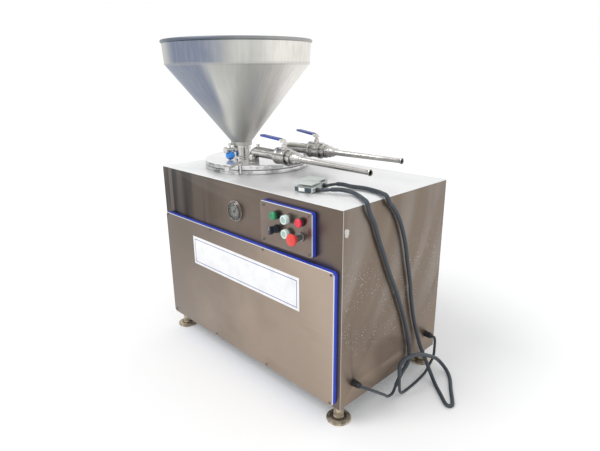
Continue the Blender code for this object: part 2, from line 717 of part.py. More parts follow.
def make_mushroom_button(root, surface):
    reach = MUSHROOM_REACH
    profile = [(0, reach), (MUSHROOM - 0.003, reach), (MUSHROOM, reach - 0.002), (MUSHROOM, reach - 0.009),
               (0.0105, 0.022), (0.0105, BEZEL_DEPTH + MUSHROOM_TRAVEL + RUNNING),
               (BUTTON_SHANK, BEZEL_DEPTH + MUSHROOM_TRAVEL + RUNNING), (BUTTON_SHANK, 0), (0, 0)]
    shape = turned(bmesh.new(), profile, ROUND_SMALL, OUT_OF_FRONT)
    piece("mushroom_button", shape, surface, root, button_spot(2, 1))


def make_selector_knob(root, surface):
    base = BEZEL_DEPTH + GAP
    skirt = SELECTOR_SKIRT
    profile = [(0, skirt), (0.0105, skirt), (0.0125, base), (BUTTON_SHANK, base), (BUTTON_SHANK, 0), (0, 0)]
    shape = turned(bmesh.new(), profile, ROUND_SMALL, OUT_OF_FRONT)
    knob = piece("selector_knob", shape, surface, root, button_spot(0, 1))
    half_x, half_z = SELECTOR_HALF
    outline = rounded((-half_x, half_x), (-half_z, half_z), half_x - RUNNING, 0.002 - skirt, 2)
    join(knob, prism(bmesh.new(), outline, (0, skirt - 0.002 - SELECTOR_REACH, 0)))


def make_glands(root, dark):
    """Two cable glands low on the right wall: hexagon, dome, neck through the wall and lock nut."""
    inner = -SHEET - GAP
    profile = [(0, GLAND_REACH), (0.0075, GLAND_REACH), (0.0098, GLAND_REACH - 0.004), (0.0108, 0.0105),
               (GLAND_HEX, 0.0095), (GLAND_HEX, GAP), (GLAND_NECK, GAP), (GLAND_NECK, inner),
               (GLAND_HEX, inner), (GLAND_HEX, inner - 0.005), (GLAND_NECK, inner - 0.005),
               (GLAND_NECK, inner - 0.008), (0, inner - 0.008)]
    for side, (y, z) in (("front", GLAND_FRONT), ("rear", GLAND_REAR)):
        shape = turned(bmesh.new(), profile, ROUND_SMALL, ALONG_X)
        piece("cable_gland_" + side, shape, dark, root, (HALF_W, y, z))


def clamp_spots():
    for side in (-1, 1):
        angle = side * CLAMP_ANGLE
        yield side, angle, CLAMP_CIRCLE * math.cos(angle), CLAMP_CIRCLE * math.sin(angle)


def clamp_notches(low, high):
    """Two slots open to the rim, one round each clamp bolt."""
    notches = bmesh.new()
    half = CLAMP_NOTCH / 2
    root_radius = CLAMP_CIRCLE - half
    for side, angle, x, y in clamp_spots():
        slot = bmesh.new()
        box(slot, (root_radius, -half, low), (LID_RADIUS + half, half, high))
        bmesh.ops.rotate(slot, verts=slot.verts, matrix=Matrix.Rotation(angle, 3, "Z"))
        mesh = bpy.data.meshes.new("notch")
        slot.to_mesh(mesh)
        slot.free()
        notches.from_mesh(mesh)
        bpy.data.meshes.remove(mesh)
    return notches


def make_meat_barrel(root, steel):
    """Barrel welded to its flange, which rests on the top plate, with a pinned bolt in each flange notch."""
    low = BARREL_FLOOR - BARREL_BASE
    bore = ROD + RUNNING
    foot = TOP + GAP
    profile = [(LID_RADIUS - 0.002, FLANGE_TOP), (LID_RADIUS, FLANGE_TOP - 0.002), (LID_RADIUS, foot),
               (BARREL_OUTER, foot), (BARREL_OUTER, low), (bore, low), (bore, BARREL_FLOOR),
               (BARREL_BORE, BARREL_FLOOR), (BARREL_BORE, FLANGE_TOP)]
    barrel = piece("meat_barrel", turned(bmesh.new(), profile, ROUND_LARGE), steel, root, (BARREL_X, 0, 0))
    cut(barrel, clamp_notches(foot - GAP, FLANGE_TOP + GAP))
    middle = (foot + FLANGE_TOP) / 2
    for side, angle, x, y in clamp_spots():
        across = Vector((-math.sin(angle), math.cos(angle), 0)) * (CLAMP_NOTCH / 2 + 0.003)
        spot = Vector((x, y, middle))
        join(barrel, rod(bmesh.new(), 0.003, spot - across, spot + across, 12))
        join(barrel, rod(bmesh.new(), CLAMP_STUD, (x, y, middle - 0.0055),
                         (x, y, LID_TOP + CLAMP_NUT_HEIGHT - 0.012), ROUND_SMALL))


def make_clamp_nuts(root, steel):
    """Cap nuts that hold the lid down, each with one long tommy arm."""
    foot = LID_TOP + GAP
    top = CLAMP_NUT_HEIGHT
    bore = CLAMP_STUD + 2 * RUNNING
    profile = [(0, top), (CLAMP_HEAD, top), (CLAMP_HEAD, top - 0.003), (CLAMP_NUT, top - 0.009), (CLAMP_NUT, 0),
               (bore, 0), (bore, top - 0.010), (0, top - 0.010)]
    for side, angle, x, y in clamp_spots():
        name = "clamp_nut_" + ("front" if side < 0 else "rear")
        shape = turned(bmesh.new(), profile, ROUND_SMALL)
        nut = piece(name, shape, steel, root, (BARREL_X + x, y, foot), angle)
        arm_z = 0.0125
        arm = rod(bmesh.new(), CLAMP_BAR, (bore + GAP, 0, arm_z), (CLAMP_ARM - 0.006, 0, arm_z), 12)
        join(nut, arm)
        tip = rod(bmesh.new(), 0.006, (CLAMP_ARM - 0.014, 0, arm_z), (CLAMP_ARM, 0, arm_z), ROUND_SMALL,
                  CLAMP_NUT)
        join(nut, tip)


def make_cylinder(root, steel):
    """Hydraulic cylinder hung below the barrel and standing on its channel, with two ports."""
    outer = RAM_BORE + RAM_WALL
    head = RAM_TOP - 0.030
    flange = outer + 0.020
    bore = ROD + 2 * RUNNING
    profile = [(0, RAM_FOOT + RAM_FLOOR), (RAM_BORE, RAM_FOOT + RAM_FLOOR), (RAM_BORE, head),
               (bore, head), (bore, RAM_TOP), (flange, RAM_TOP), (flange, RAM_TOP - 0.012),
               (outer, RAM_TOP - 0.012), (outer, RAM_FOOT + 0.012), (flange - 0.006, RAM_FOOT + 0.012),
               (flange - 0.006, RAM_FOOT), (0, RAM_FOOT)]
    barrel = piece("hydraulic_cylinder", turned(bmesh.new(), profile, ROUND), steel, root, (BARREL_X, 0, 0))
    for z in port_levels():
        join(barrel, rod(bmesh.new(), PORT, (outer - 0.004, 0, z), (flange, 0, z), 12))


def port_levels():
    return (RAM_FOOT + RAM_FLOOR + 0.020, RAM_TOP - 0.046)


def make_piston(root, steel):
    """Meat piston with two seal grooves, its rod and the ram head inside the cylinder."""
    foot = PISTON_FOOT
    top = foot + PISTON_HEIGHT
    wide = BARREL_BORE - RUNNING
    groove = wide - 0.005
    ram_foot = RAM_FOOT + RAM_FLOOR + RUNNING
    profile = [(0, top), (wide - 0.006, top), (wide, top - 0.006)]
    seal = top - PISTON_HEIGHT / 2
    profile += [(wide, seal + 0.004), (groove, seal + 0.004), (groove, seal - 0.004), (wide, seal - 0.004)]
    ram = RAM_BORE - 3 * RUNNING
    profile += [(wide, foot), (ROD, foot), (ROD, ram_foot + RAM_HEAD), (ram, ram_foot + RAM_HEAD),
                (ram, ram_foot), (0, ram_foot)]
    piece("piston", turned(bmesh.new(), profile, ROUND_LARGE), steel, root, (BARREL_X, 0, 0))


def make_tank(root, paint):
    """Oil tank with a flat lid, the valve block with its two coils on it, and a filler cap."""
    rings = []
    for wall, z in ((0, TANK_FOOT), (0, TANK_TOP), (TANK_WALL, TANK_TOP), (TANK_WALL, TANK_FOOT + TANK_WALL)):
        x = inset_range(TANK_X, wall)
        y = inset_range(TANK_Y, wall)
        rings.append([(x[0], y[0], z), (x[1], y[0], z), (x[1], y[1], z), (x[0], y[1], z)])
    tank = piece("oil_tank", loops(bmesh.new(), rings, closed=False), paint, root)
    lip = 0.008
    join(tank, box(bmesh.new(), (TANK_X[0] - lip, TANK_Y[0] - lip, TANK_TOP - 0.001),
                   (TANK_X[1] + lip, TANK_Y[1] + lip, TANK_LID_TOP)))
    cut(tank, rod(bmesh.new(), TANK_NECK + 0.002, (MOTOR_X, MOTOR_Y, TANK_TOP - 0.003),
                  (MOTOR_X, MOTOR_Y, TANK_LID_TOP + 0.002), 20))
    cap = place(TANK_X[0] + 0.060, TANK_Y[1] - 0.060, TANK_LID_TOP - 0.001)
    join(tank, turned(bmesh.new(), [(0, 0.030), (0.016, 0.030), (0.020, 0.026), (0.020, 0), (0, 0)], 16, cap))
    x, y, z = BLOCK_SIZE
    low = TANK_LID_TOP - 0.001
    join(tank, box(bmesh.new(), (BLOCK_X - x / 2, BLOCK_Y - y / 2, low),
                   (BLOCK_X + x / 2, BLOCK_Y + y / 2, low + z)))
    middle = low + z / 2
    coils = rod(bmesh.new(), 0.020, (BLOCK_X, BLOCK_Y - y / 2 - 0.060, middle),
                (BLOCK_X, BLOCK_Y + y / 2 + 0.060, middle), 16)
    join(tank, coils)
    for lift in (0.015, 0.045):
        face = BLOCK_X - x / 2
        join(tank, rod(bmesh.new(), PORT, (face + 0.002, BLOCK_Y, low + lift),
                       (face - 0.016, BLOCK_Y, low + lift), 12))


def make_motor(root, paint):
    """Upright motor with ribbed body, fan cover and terminal box. Its pump hangs below the tank's lid."""
    low = TANK_LID_TOP + GAP
    foot = 0.014
    fan = MOTOR_HEIGHT - FAN_HEIGHT
    wide = MOTOR_RADIUS + 0.003
    neck = TANK_NECK
    below = -TANK_LID - GAP
    profile = [(0, MOTOR_HEIGHT), (wide - 0.014, MOTOR_HEIGHT), (wide, MOTOR_HEIGHT - 0.012), (wide, fan),
               (MOTOR_RADIUS - 0.008, fan), (MOTOR_RADIUS - 0.008, foot), (MOTOR_RADIUS + 0.010, foot),
               (MOTOR_RADIUS + 0.010, 0), (neck, 0), (neck, below - PUMP_COLLAR), (0, below - PUMP_COLLAR)]
    spot = (MOTOR_X, MOTOR_Y, low)
    motor = piece("motor_and_pump", turned(bmesh.new(), profile, ROUND), paint, root, spot)
    ribs = 12
    outline = []
    for i in range(ribs * 4):
        angle = math.tau * (i + 0.5) / (ribs * 4)
        radius = MOTOR_RADIUS if i % 4 < 2 else MOTOR_RADIUS - 0.006
        outline.append((radius * math.cos(angle), radius * math.sin(angle), foot - 0.002))
    join(motor, prism(bmesh.new(), outline, (0, 0, fan - foot + 0.004)))
    side = MOTOR_RADIUS - 0.004
    low, high = TERMINAL_Z
    join(motor, box(bmesh.new(), (side, -TERMINAL_HALF, low), (side + TERMINAL_REACH, TERMINAL_HALF, high)))
    half = PUMP_SIDE / 2
    join(motor, box(bmesh.new(), (-half, -half, below - PUMP_HEIGHT),
                   (half, half, below - PUMP_COLLAR + 0.002)))
    join(motor, rod(bmesh.new(), 0.011, (0.004, 0.003, below - PUMP_HEIGHT + 0.002),
                    (0.004, 0.003, below - TANK_HEIGHT + 0.025), 12))


def make_lid(root, steel, rubber):
    """Lid plate, dished below, with the inlet and outlet holes, two clamp notches and the seal groove."""
    seal_in = BARREL_OUTER + 0.0015
    seal_out = seal_in + SEAL_WIDTH
    low = LID_FOOT
    dish = BARREL_BORE - RUNNING
    profile = [(0, LID_TOP), (LID_RADIUS - 0.0025, LID_TOP), (LID_RADIUS, LID_TOP - 0.0025), (LID_RADIUS, low),
               (seal_out + GAP, low), (seal_out + GAP, low + SEAL_DEPTH), (seal_in - GAP, low + SEAL_DEPTH),
               (seal_in - GAP, low), (dish, low), (dish, low + LID_DISH), (0, low + LID_DISH)]
    lid = piece("lid_plate", turned(bmesh.new(), profile, ROUND_LARGE), steel, root, (BARREL_X, 0, 0))
    cut(lid, clamp_notches(LID_FOOT - SHEET, LID_TOP + SHEET))
    holes = bmesh.new()
    for x, y, radius in ((HOPPER_X, HOPPER_Y, INLET_BORE), (OUTLET_X, OUTLET_Y, PIPE - PIPE_WALL),
                         (OUTLET_X, -OUTLET_Y, PIPE - PIPE_WALL)):
        rod(holes, radius, (x - BARREL_X, y, LID_FOOT), (x - BARREL_X, y, LID_TOP + SHEET), ROUND)
    cut(lid, holes)
    top = low + SEAL_DEPTH - GAP
    foot = FLANGE_TOP + GAP
    seal = [(seal_out, top), (seal_out, foot), (seal_in, foot), (seal_in, top)]
    piece("lid_seal", turned(bmesh.new(), seal, ROUND_LARGE), rubber, root, (BARREL_X, 0, 0))


def make_hopper(root, steel):
    """Spun hopper: beaded rim, near-straight band, cone and the collar that sits on the inlet valve."""
    wall = HOPPER_WALL
    foot = INLET_TOP + GAP
    bead = HOPPER_BEAD
    top = HOPPER_TOP_Z
    slope = math.hypot(HOPPER_BAND_FOOT - HOPPER_NECK, HOPPER_BAND_Z - HOPPER_NECK_Z)
    inward = wall * slope / (HOPPER_BAND_Z - HOPPER_NECK_Z)
    neck = INLET_BORE + 0.003
    profile = [(HOPPER_BAND_TOP - wall, top)]
    for step in range(4):
        angle = math.radians(90 - 60 * step)
        profile.append((HOPPER_RIM - bead + bead * math.cos(angle), top - bead + bead * math.sin(angle)))
    profile += [(HOPPER_BAND_TOP, top - 2 * bead), (HOPPER_BAND_FOOT, HOPPER_BAND_Z),
                (HOPPER_NECK, HOPPER_NECK_Z), (HOPPER_COLLAR, HOPPER_NECK_Z - 0.0015), (HOPPER_COLLAR, foot),
                (neck, foot), (neck, HOPPER_NECK_Z), (HOPPER_NECK - inward, HOPPER_NECK_Z + 0.004),
                (HOPPER_BAND_FOOT - inward, HOPPER_BAND_Z)]
    piece("hopper", turned(bmesh.new(), profile, ROUND_LARGE), steel, root, (HOPPER_X, HOPPER_Y, 0))


def make_inlet_valve(root, steel, blue):
    """Butterfly valve under the hopper. It stands open, with its ball knob hanging from the shaft."""
    profile = [(INLET_BODY, INLET_TOP), (INLET_BODY, INLET_FOOT), (INLET_BORE, INLET_FOOT),
               (INLET_BORE, INLET_TOP)]
    body = piece("inlet_valve_body", turned(bmesh.new(), profile, ROUND), steel, root, (HOPPER_X, HOPPER_Y, 0))
    wall = (INLET_BODY + INLET_BORE) / 2
    axis = INLET_AXIS_Z
    for side, end in ((-1, INLET_BOSS_END), (1, INLET_BOSS_END - 0.004)):
        join(body, rod(bmesh.new(), INLET_BOSS, (0, side * wall, axis), (0, side * end, axis), ROUND_SMALL))
    hole = rod(bmesh.new(), INLET_SHAFT + 2 * RUNNING, (0, -INLET_BOSS_END - SHEET, axis),
               (0, INLET_BOSS_END, axis), ROUND_SMALL)
    cut(body, hole)
    spot = (HOPPER_X, HOPPER_Y, axis)
    end = INLET_END_Y
    boss = INLET_BOSS_END + GAP
    shaft = [(0, end), (0.0115, end), (0.0135, end - 0.002), (0.0135, end - 0.006), (0.0075, end - 0.006),
             (0.0075, boss + 0.002), (INLET_BOSS, boss + 0.002), (INLET_BOSS, boss), (INLET_SHAFT, boss),
             (INLET_SHAFT, -INLET_BOSS_END + 0.006), (0, -INLET_BOSS_END + 0.006)]
    disc = piece("inlet_valve_disc", turned(bmesh.new(), shaft, ROUND_SMALL, OUT_OF_FRONT), steel, root, spot)
    flap = rod(bmesh.new(), INLET_BORE - 3 * RUNNING, (-0.002, 0, 0), (0.002, 0, 0), ROUND)
    join(disc, flap)
    y = -INLET_LEVER_Y
    join(disc, rod(bmesh.new(), INLET_ROD, (0, y, -BALL_DROP), (0, y, 0.022), 12))
    join(disc, rod(bmesh.new(), 0.0075, (0, y, 0.018), (0, y, 0.025), 6))
    ball = bmesh.new()
    bmesh.ops.create_uvsphere(ball, u_segments=16, v_segments=10, radius=BALL_KNOB,
                              matrix=place(0, y, -BALL_DROP))
    knob = piece("ball_knob", ball, blue, root, spot)
    size = BALL_KNOB
    cut(knob, box(bmesh.new(), (-size, y - size, -BALL_FLAT), (size, y + size, size)))
    cut(knob, rod(bmesh.new(), INLET_ROD + GAP, (0, y, -BALL_DROP - GAP), (0, y, size), 16))


def make_outlet_pipe(side, stand, steel):
    """Elbow that leaves the lid upwards and turns along the horn's line."""
    low = LID_TOP + GAP
    rise = OUTLET_AXIS_Z - PIPE_BEND
    inner = PIPE - PIPE_WALL
    stations = [(Vector((0, 0, low)), 0.0)]
    for step in range(6):
        angle = math.radians(18 * step)
        spot = Vector((PIPE_BEND * (1 - math.cos(angle)), 0, rise + PIPE_BEND * math.sin(angle)))
        stations.append((spot, angle))
    stations.append((Vector((PIPE_REACH[side] - GAP, 0, OUTLET_AXIS_Z)), math.radians(90)))
    across = Vector((0, 1, 0))
    rings = []
    for radius, run in ((PIPE, stations), (inner, stations[::-1])):
        for centre, angle in run:
            up = Vector((-math.cos(angle), 0, math.sin(angle)))
            rings.append(ring_points(centre, across, up, radius, ROUND))
    pipe = piece("outlet_pipe_" + side, loops(bmesh.new(), rings), steel, stand)
    if side == "front":
        join(pipe, rod(bmesh.new(), 0.0055, (BLEED_X, 0, OUTLET_AXIS_Z + PIPE - 0.0012),
                       (BLEED_X, 0, bleed_seat()), 12))
        join(pipe, rod(bmesh.new(), 0.0100, (SIDE_PLUG_X, -PIPE + 0.0012, SIDE_PLUG_Z),
                       (SIDE_PLUG_X, -PIPE - 0.012, SIDE_PLUG_Z), 16))


def bleed_seat():
    return OUTLET_AXIS_Z + PIPE + 0.003


def make_bleed_screw(stand, steel):
    profile = [(0, 0.0055), (0.0055, 0.0055), (0.007, 0.004), (0.007, 0.001), (0.006, 0), (0, 0)]
    spot = (BLEED_X, 0, bleed_seat() + GAP)
    piece("bleed_screw", turned(bmesh.new(), profile, 12), steel, stand, spot)


def make_valve_body(side, valve, steel):
    """Ball valve body: flange, body with its stem boss, tail rim and the thread that the horn's nut runs on."""
    seat = VALVE_STEM_X - VALVE_BALL - GAP
    far_seat = VALVE_STEM_X + VALVE_BALL + GAP
    cavity = VALVE_BALL + 2 * RUNNING
    profile = [(VALVE_BORE, 0), (VALVE_FLANGE, 0), (VALVE_FLANGE, VALVE_FLANGE_END),
               (VALVE_BODY, VALVE_FLANGE_END), (VALVE_BODY, VALVE_BODY_END), (VALVE_FLANGE, VALVE_BODY_END),
               (VALVE_FLANGE, VALVE_RIM_END), (VALVE_GROOVE, VALVE_RIM_END), (VALVE_GROOVE, VALVE_GROOVE_END),
               (VALVE_THREAD, VALVE_GROOVE_END), (VALVE_THREAD, VALVE_TAIL_END), (VALVE_BORE, VALVE_TAIL_END),
               (VALVE_BORE, far_seat), (cavity, far_seat), (cavity, seat), (VALVE_BORE, seat)]
    body = piece("valve_body_" + side, turned(bmesh.new(), profile[::-1], ROUND, ALONG_X), steel, valve)
    boss_foot = (cavity + VALVE_BODY) / 2
    join(body, rod(bmesh.new(), 0.0125, (VALVE_STEM_X, 0, boss_foot), (VALVE_STEM_X, 0, VALVE_BOSS_Z),
                   ROUND_SMALL, 0.0085))
    cut(body, rod(bmesh.new(), VALVE_STEM + RUNNING, (VALVE_STEM_X, 0, boss_foot - 0.008),
                  (VALVE_STEM_X, 0, VALVE_BOSS_Z + SHEET), ROUND_SMALL))


def lever_turn(side):
    return -OUTWARD[side] * LEVER_REST[side]


def lever_outline(lift, start, end):
    """Side view of the flat lever between two distances from its stem: level, bent up, then nearly level."""
    bend = (0.012, 0.020)
    rise = 0.0085
    points = []
    for reach in (start, bend[0], bend[1], end):
        if reach < start:
            continue
        height = 0.0
        if reach > bend[0]:
            height = rise + (reach - bend[1]) * 0.055
        points.append((-reach, LEVER_Z + height + lift))
    return points


def make_valve_lever(side, valve, steel, blue):
    """Bored ball, its stem, and the flat lever under the stem's nut, with a dipped sleeve over the handle."""
    half = LEVER_WIDTH / 2
    spot = (VALVE_STEM_X, 0, 0)
    turn = lever_turn(side)
    shape = bmesh.new()
    bmesh.ops.create_uvsphere(shape, u_segments=16, v_segments=10, radius=VALVE_BALL)
    lever = piece("valve_lever_" + side, shape, steel, valve, spot, turn)
    cut(lever, rod(bmesh.new(), VALVE_BORE - 0.001, (-0.030, 0, 0), (0.030, 0, 0), ROUND_SMALL))
    join(lever, rod(bmesh.new(), VALVE_STEM, (0, 0, VALVE_BALL - 0.003), (0, 0, LEVER_Z + 0.014),
                    ROUND_SMALL))
    under = lever_outline(0, -0.010, LEVER_TIP)
    over = lever_outline(LEVER_WALL, -0.010, LEVER_TIP)
    outline = [(x, -half, z) for x, z in under + over[::-1]]
    join(lever, prism(bmesh.new(), outline, (0, LEVER_WIDTH, 0)))
    nut_z = LEVER_Z + LEVER_WALL
    join(lever, rod(bmesh.new(), 0.0090, (0, 0, nut_z - 0.001), (0, 0, nut_z + 0.0065), 6))
    rings = []
    for grow, end in ((0, LEVER_TIP + GAP), (SLEEVE_WALL, LEVER_TIP + SLEEVE_WALL)):
        reach = half + GAP + grow
        low = lever_outline(-GAP - grow, SLEEVE_START, end)
        high = lever_outline(LEVER_WALL + GAP + grow, SLEEVE_START, end)
        pair = []
        for at in (0, -1):
            (x, z), (top_x, top_z) = low[at], high[at]
            pair.append([(x, -reach, z), (top_x, -reach, top_z), (top_x, reach, top_z), (x, reach, z)])
        rings += pair[::-1] if not rings else pair
    piece("lever_sleeve_" + side, loops(bmesh.new(), rings, closed=False), blue, valve, spot, turn)


def make_horn_nut(side, valve, steel):
    """Union nut that draws the horn's flange against the valve's thread end."""
    start = VALVE_GROOVE_END + GAP
    thread = VALVE_THREAD + 2 * RUNNING
    collar = HORN_COLLAR + 2 * RUNNING
    lip = NUT_RING_END - NUT_LIP
    profile = [(NUT_RING, start), (NUT_RING, NUT_RING_END), (collar, NUT_RING_END), (collar, lip), (thread, lip),
               (thread, start)]
    piece("horn_nut_" + side, turned(bmesh.new(), profile[::-1], ROUND, ALONG_X), steel, valve)


def make_horn(side, valve, steel):
    """Filling horn: flange held by the nut, collar, cone and long tapered tube with a rolled tip."""
    seat = VALVE_TAIL_END + GAP
    held = NUT_RING_END - NUT_LIP - GAP
    end = HORN_REACH[side]
    middle, middle_x = HORN_CONE_MIDDLE
    wall = HORN_WALL
    profile = [(VALVE_THREAD, seat), (VALVE_THREAD, held), (HORN_COLLAR, held), (HORN_COLLAR, HORN_CONE_START),
               (middle, middle_x), (HORN_ROOT, HORN_CONE_END), (HORN_TIP, end - 0.012), (HORN_FLARE, end - 0.004),
               (HORN_FLARE, end), (HORN_BORE, end), (HORN_ROOT - wall, HORN_CONE_END),
               (middle - wall, middle_x), (VALVE_BORE, HORN_CONE_START - 0.002), (VALVE_BORE, seat)]
    piece("horn_" + side, turned(bmesh.new(), profile[::-1], ROUND, ALONG_X), steel, valve)


def make_outlet(side, root, steel, blue):
    spot = (OUTLET_X, OUTWARD[side] * OUTLET_Y, 0)
    stand = empty("outlet_stand_" + side, root, spot, OUTWARD[side] * OUTLET_SPLAY)
    valve = empty("outlet_valve_" + side, stand, (PIPE_REACH[side], 0, OUTLET_AXIS_Z))
    make_outlet_pipe(side, stand, steel)
    if side == "front":
        make_bleed_screw(stand, steel)
    make_valve_body(side, valve, steel)
    make_valve_lever(side, valve, steel, blue)
    make_horn_nut(side, valve, steel)
    make_horn(side, valve, steel)


def make_foot_switch(side, centre, root, cast):
    """Low foot switch lying on the top plate: housing on four pads, and a treadle hinged at its back."""
    stand = empty("switch_stand_" + side, root, (*centre, TOP + GAP), SWITCH_ANGLE)
    w = SWITCH_WIDTH / 2
    d = SWITCH_DEPTH / 2
    low = SWITCH_PAD
    hinge_y = d - 0.006
    slot = hinge_y - TREADLE_BARREL - RUNNING
    side_view = [(-d, low), (d, low), (d, SWITCH_BACK_Z - 0.009), (slot, SWITCH_BACK_Z - 0.009), (slot, SWITCH_BACK_Z),
                 (-d, SWITCH_FRONT_Z)]
    shape = prism(bmesh.new(), [(-w, y, z) for y, z in side_view], (2 * w, 0, 0))
    housing = piece("switch_housing_" + side, shape, cast, stand)
    bevel(housing, 0.0015, 1)
    lug_z = SWITCH_BACK_Z - 0.0095
    for way in (-1, 1):
        xs = sorted((way * (w - 0.006), way * (w - 0.001)))
        join(housing, box(bmesh.new(), (xs[0], slot + GAP, lug_z),
                          (xs[1], d - 0.001, hinge_z() + TREADLE_BARREL)))
    for px in (-1, 1):
        for py in (-1, 1):
            at = (px * (w - 0.009), py * (d - 0.009))
            join(housing, rod(bmesh.new(), 0.005, (*at, 0), (*at, low + 0.001), 10))
    join(housing, rod(bmesh.new(), 0.0065, (w - 0.001, d - 0.010, low + 0.001),
                      (w - 0.001, d - 0.010, low + 0.004), 12))
    base = TREADLE_Z - hinge_z()
    plate = box(bmesh.new(), (0.0005 - w, -2 * d + 0.0065, base), (w - 0.0005, 0.0055, base + TREADLE_WALL))
    treadle = piece("treadle_" + side, plate, cast, stand, (0, hinge_y, hinge_z()))
    barrel = w - 0.006 - GAP
    join(treadle, rod(bmesh.new(), TREADLE_BARREL, (-barrel, 0, 0), (barrel, 0, 0), 12))
    join(treadle, box(bmesh.new(), (-barrel, -0.0015, 0), (barrel, 0.0015, base + 0.001)))


def hinge_z():
    return SWITCH_BACK_Z - 0.004


def make_cables(root, rubber):
    routes = {"front": (FRONT_ROUTE_SWITCH, FRONT_ROUTE_SLEEVE, FRONT_ROUTE_GLAND),
              "rear": (REAR_ROUTE_SWITCH, REAR_ROUTE_SLEEVE, REAR_ROUTE_GLAND)}
    for side, (switch, sleeve, gland) in routes.items():
        runs = [(pull_back(switch, 0, SLEEVE / 4), CABLE, CABLE_PITCH), (sleeve, SLEEVE, CABLE_PITCH),
                (pull_back(gland, SLEEVE / 4, 0), CABLE, CABLE_PITCH)]
        cord("cable_" + side, runs, rubber, root)


def main():
    clear_scene()
    root = empty("stuffer", None, (-MIDDLE[0], -MIDDLE[1], 0))
    brushed = material("cabinet_steel", (0.32, 0.28, 0.25), 0.32, 1.0)
    bright = material("bright_steel", (0.62, 0.61, 0.59), 0.18, 1.0)
    frame_paint = material("frame_steel", (0.12, 0.12, 0.12), 0.55, 0.2)
    machine_paint = material("machine_paint", (0.10, 0.16, 0.22), 0.45, 0.0)
    rubber = material("black_rubber", (0.025, 0.028, 0.032), 0.65, 0.0)
    dark = material("dark_plastic", (0.03, 0.03, 0.035), 0.40, 0.0)
    glass = material("gauge_glass", (0.80, 0.85, 0.85), 0.05, 0.0)
    blue = material("blue_plastic", (0.02, 0.20, 0.75), 0.30, 0.0)
    sleeve_blue = material("blue_vinyl", (0.06, 0.08, 0.40), 0.35, 0.0)
    green = material("green_cap", (0.01, 0.25, 0.08), 0.30, 0.0)
    pale = material("pale_cap", (0.65, 0.82, 0.80), 0.25, 0.0)
    red = material("red_cap", (0.75, 0.03, 0.04), 0.30, 0.0)
    navy = material("navy_knob", (0.02, 0.03, 0.06), 0.35, 0.0)
    cast = material("grey_green_cast", (0.36, 0.40, 0.38), 0.45, 0.3)

    make_base_frame(root, frame_paint)
    make_cabinet_shell(root, brushed)
    make_front_sheet(root, brushed)
    make_top_plate(root, bright)
    make_rear_cover(root, brushed)
    make_lower_panel(root, brushed)
    make_control_plate(root, brushed)
    make_feet(root, bright)
    make_gauge(root, bright, glass, dark)
    make_button_bodies(root, dark)
    make_push_button("green_button", root, green, 0, 0, 0.0135, 0.019)
    make_push_button("white_button_upper", root, pale, 1, 0, 0.0150, 0.025)
    make_push_button("red_button", root, red, 2, 0, 0.0135, 0.017)
    make_push_button("white_button_lower", root, pale, 1, 1, 0.0150, 0.023)
    make_mushroom_button(root, red)
    make_selector_knob(root, navy)
    make_glands(root, dark)
    make_meat_barrel(root, bright)
    make_clamp_nuts(root, bright)
    make_cylinder(root, machine_paint)
    make_piston(root, bright)
    make_tank(root, machine_paint)
    make_motor(root, machine_paint)
    make_lid(root, bright, rubber)
    make_hopper(root, bright)
    make_inlet_valve(root, bright, blue)
    for side in ("front", "rear"):
        make_outlet(side, root, bright, sleeve_blue)
    make_foot_switch("front", SWITCH_FRONT, root, cast)
    make_foot_switch("rear", SWITCH_REAR, root, cast)
    make_cables(root, rubber)


main()
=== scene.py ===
"""Looks of a hydraulic sausage stuffer: steel cabinet, hopper, two ball valves with filling horns, push
buttons, pressure gauge and two foot switches on cables. Metres, +Z up, the control side faces -Y."""

import math

import bpy
from mathutils import Matrix, Vector


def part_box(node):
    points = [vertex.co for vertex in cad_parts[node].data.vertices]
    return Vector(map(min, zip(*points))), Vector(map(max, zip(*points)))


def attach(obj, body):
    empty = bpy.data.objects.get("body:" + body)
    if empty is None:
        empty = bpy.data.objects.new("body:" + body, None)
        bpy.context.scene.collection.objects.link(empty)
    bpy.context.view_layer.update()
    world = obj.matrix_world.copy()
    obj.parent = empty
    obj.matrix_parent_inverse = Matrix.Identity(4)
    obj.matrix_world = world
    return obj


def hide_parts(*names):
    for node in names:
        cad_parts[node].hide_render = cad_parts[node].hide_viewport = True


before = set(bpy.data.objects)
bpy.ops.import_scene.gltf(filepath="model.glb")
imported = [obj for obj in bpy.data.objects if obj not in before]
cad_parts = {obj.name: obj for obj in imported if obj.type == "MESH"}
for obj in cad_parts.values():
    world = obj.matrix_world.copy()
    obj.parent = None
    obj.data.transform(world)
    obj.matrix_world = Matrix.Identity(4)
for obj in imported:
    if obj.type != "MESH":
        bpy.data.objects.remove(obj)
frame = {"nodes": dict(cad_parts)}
NODES = frame["nodes"]

bl_info = {
    "name": "Sausage stuffer",
    "version": (1, 0, 0),
    "blender": (4, 5, 0),
    "location": "3D View > Sidebar > Stuffer",
    "description": "Builds the finishes and fine pieces of a hydraulic sausage stuffer",
    "category": "Object",
}

# Where the camera stands, and its azimuth, elevation and roll in degrees
CAMERA_SPOT = Vector((1.363, -1.27142, 1.1208))
CAMERA_ANGLES = (45.754, 17.602, -0.532)
UNMOVED = Matrix.Identity(4)
# Running gap between two pieces that seat on each other, and how near two points count as one
GAP = 0.0003
MERGE = 0.000002
# The middle of the cabinet's floor outline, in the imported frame
MIDDLE = Vector((-0.006, 0.029079, 0.0))
FRONT = -0.284
ALONG_X = Matrix.Rotation(math.radians(90), 4, "Y")
OUT_OF_FRONT = Matrix.Rotation(math.radians(90), 4, "X")
OUT_OF_BACK = Matrix.Rotation(math.radians(-90), 4, "X")

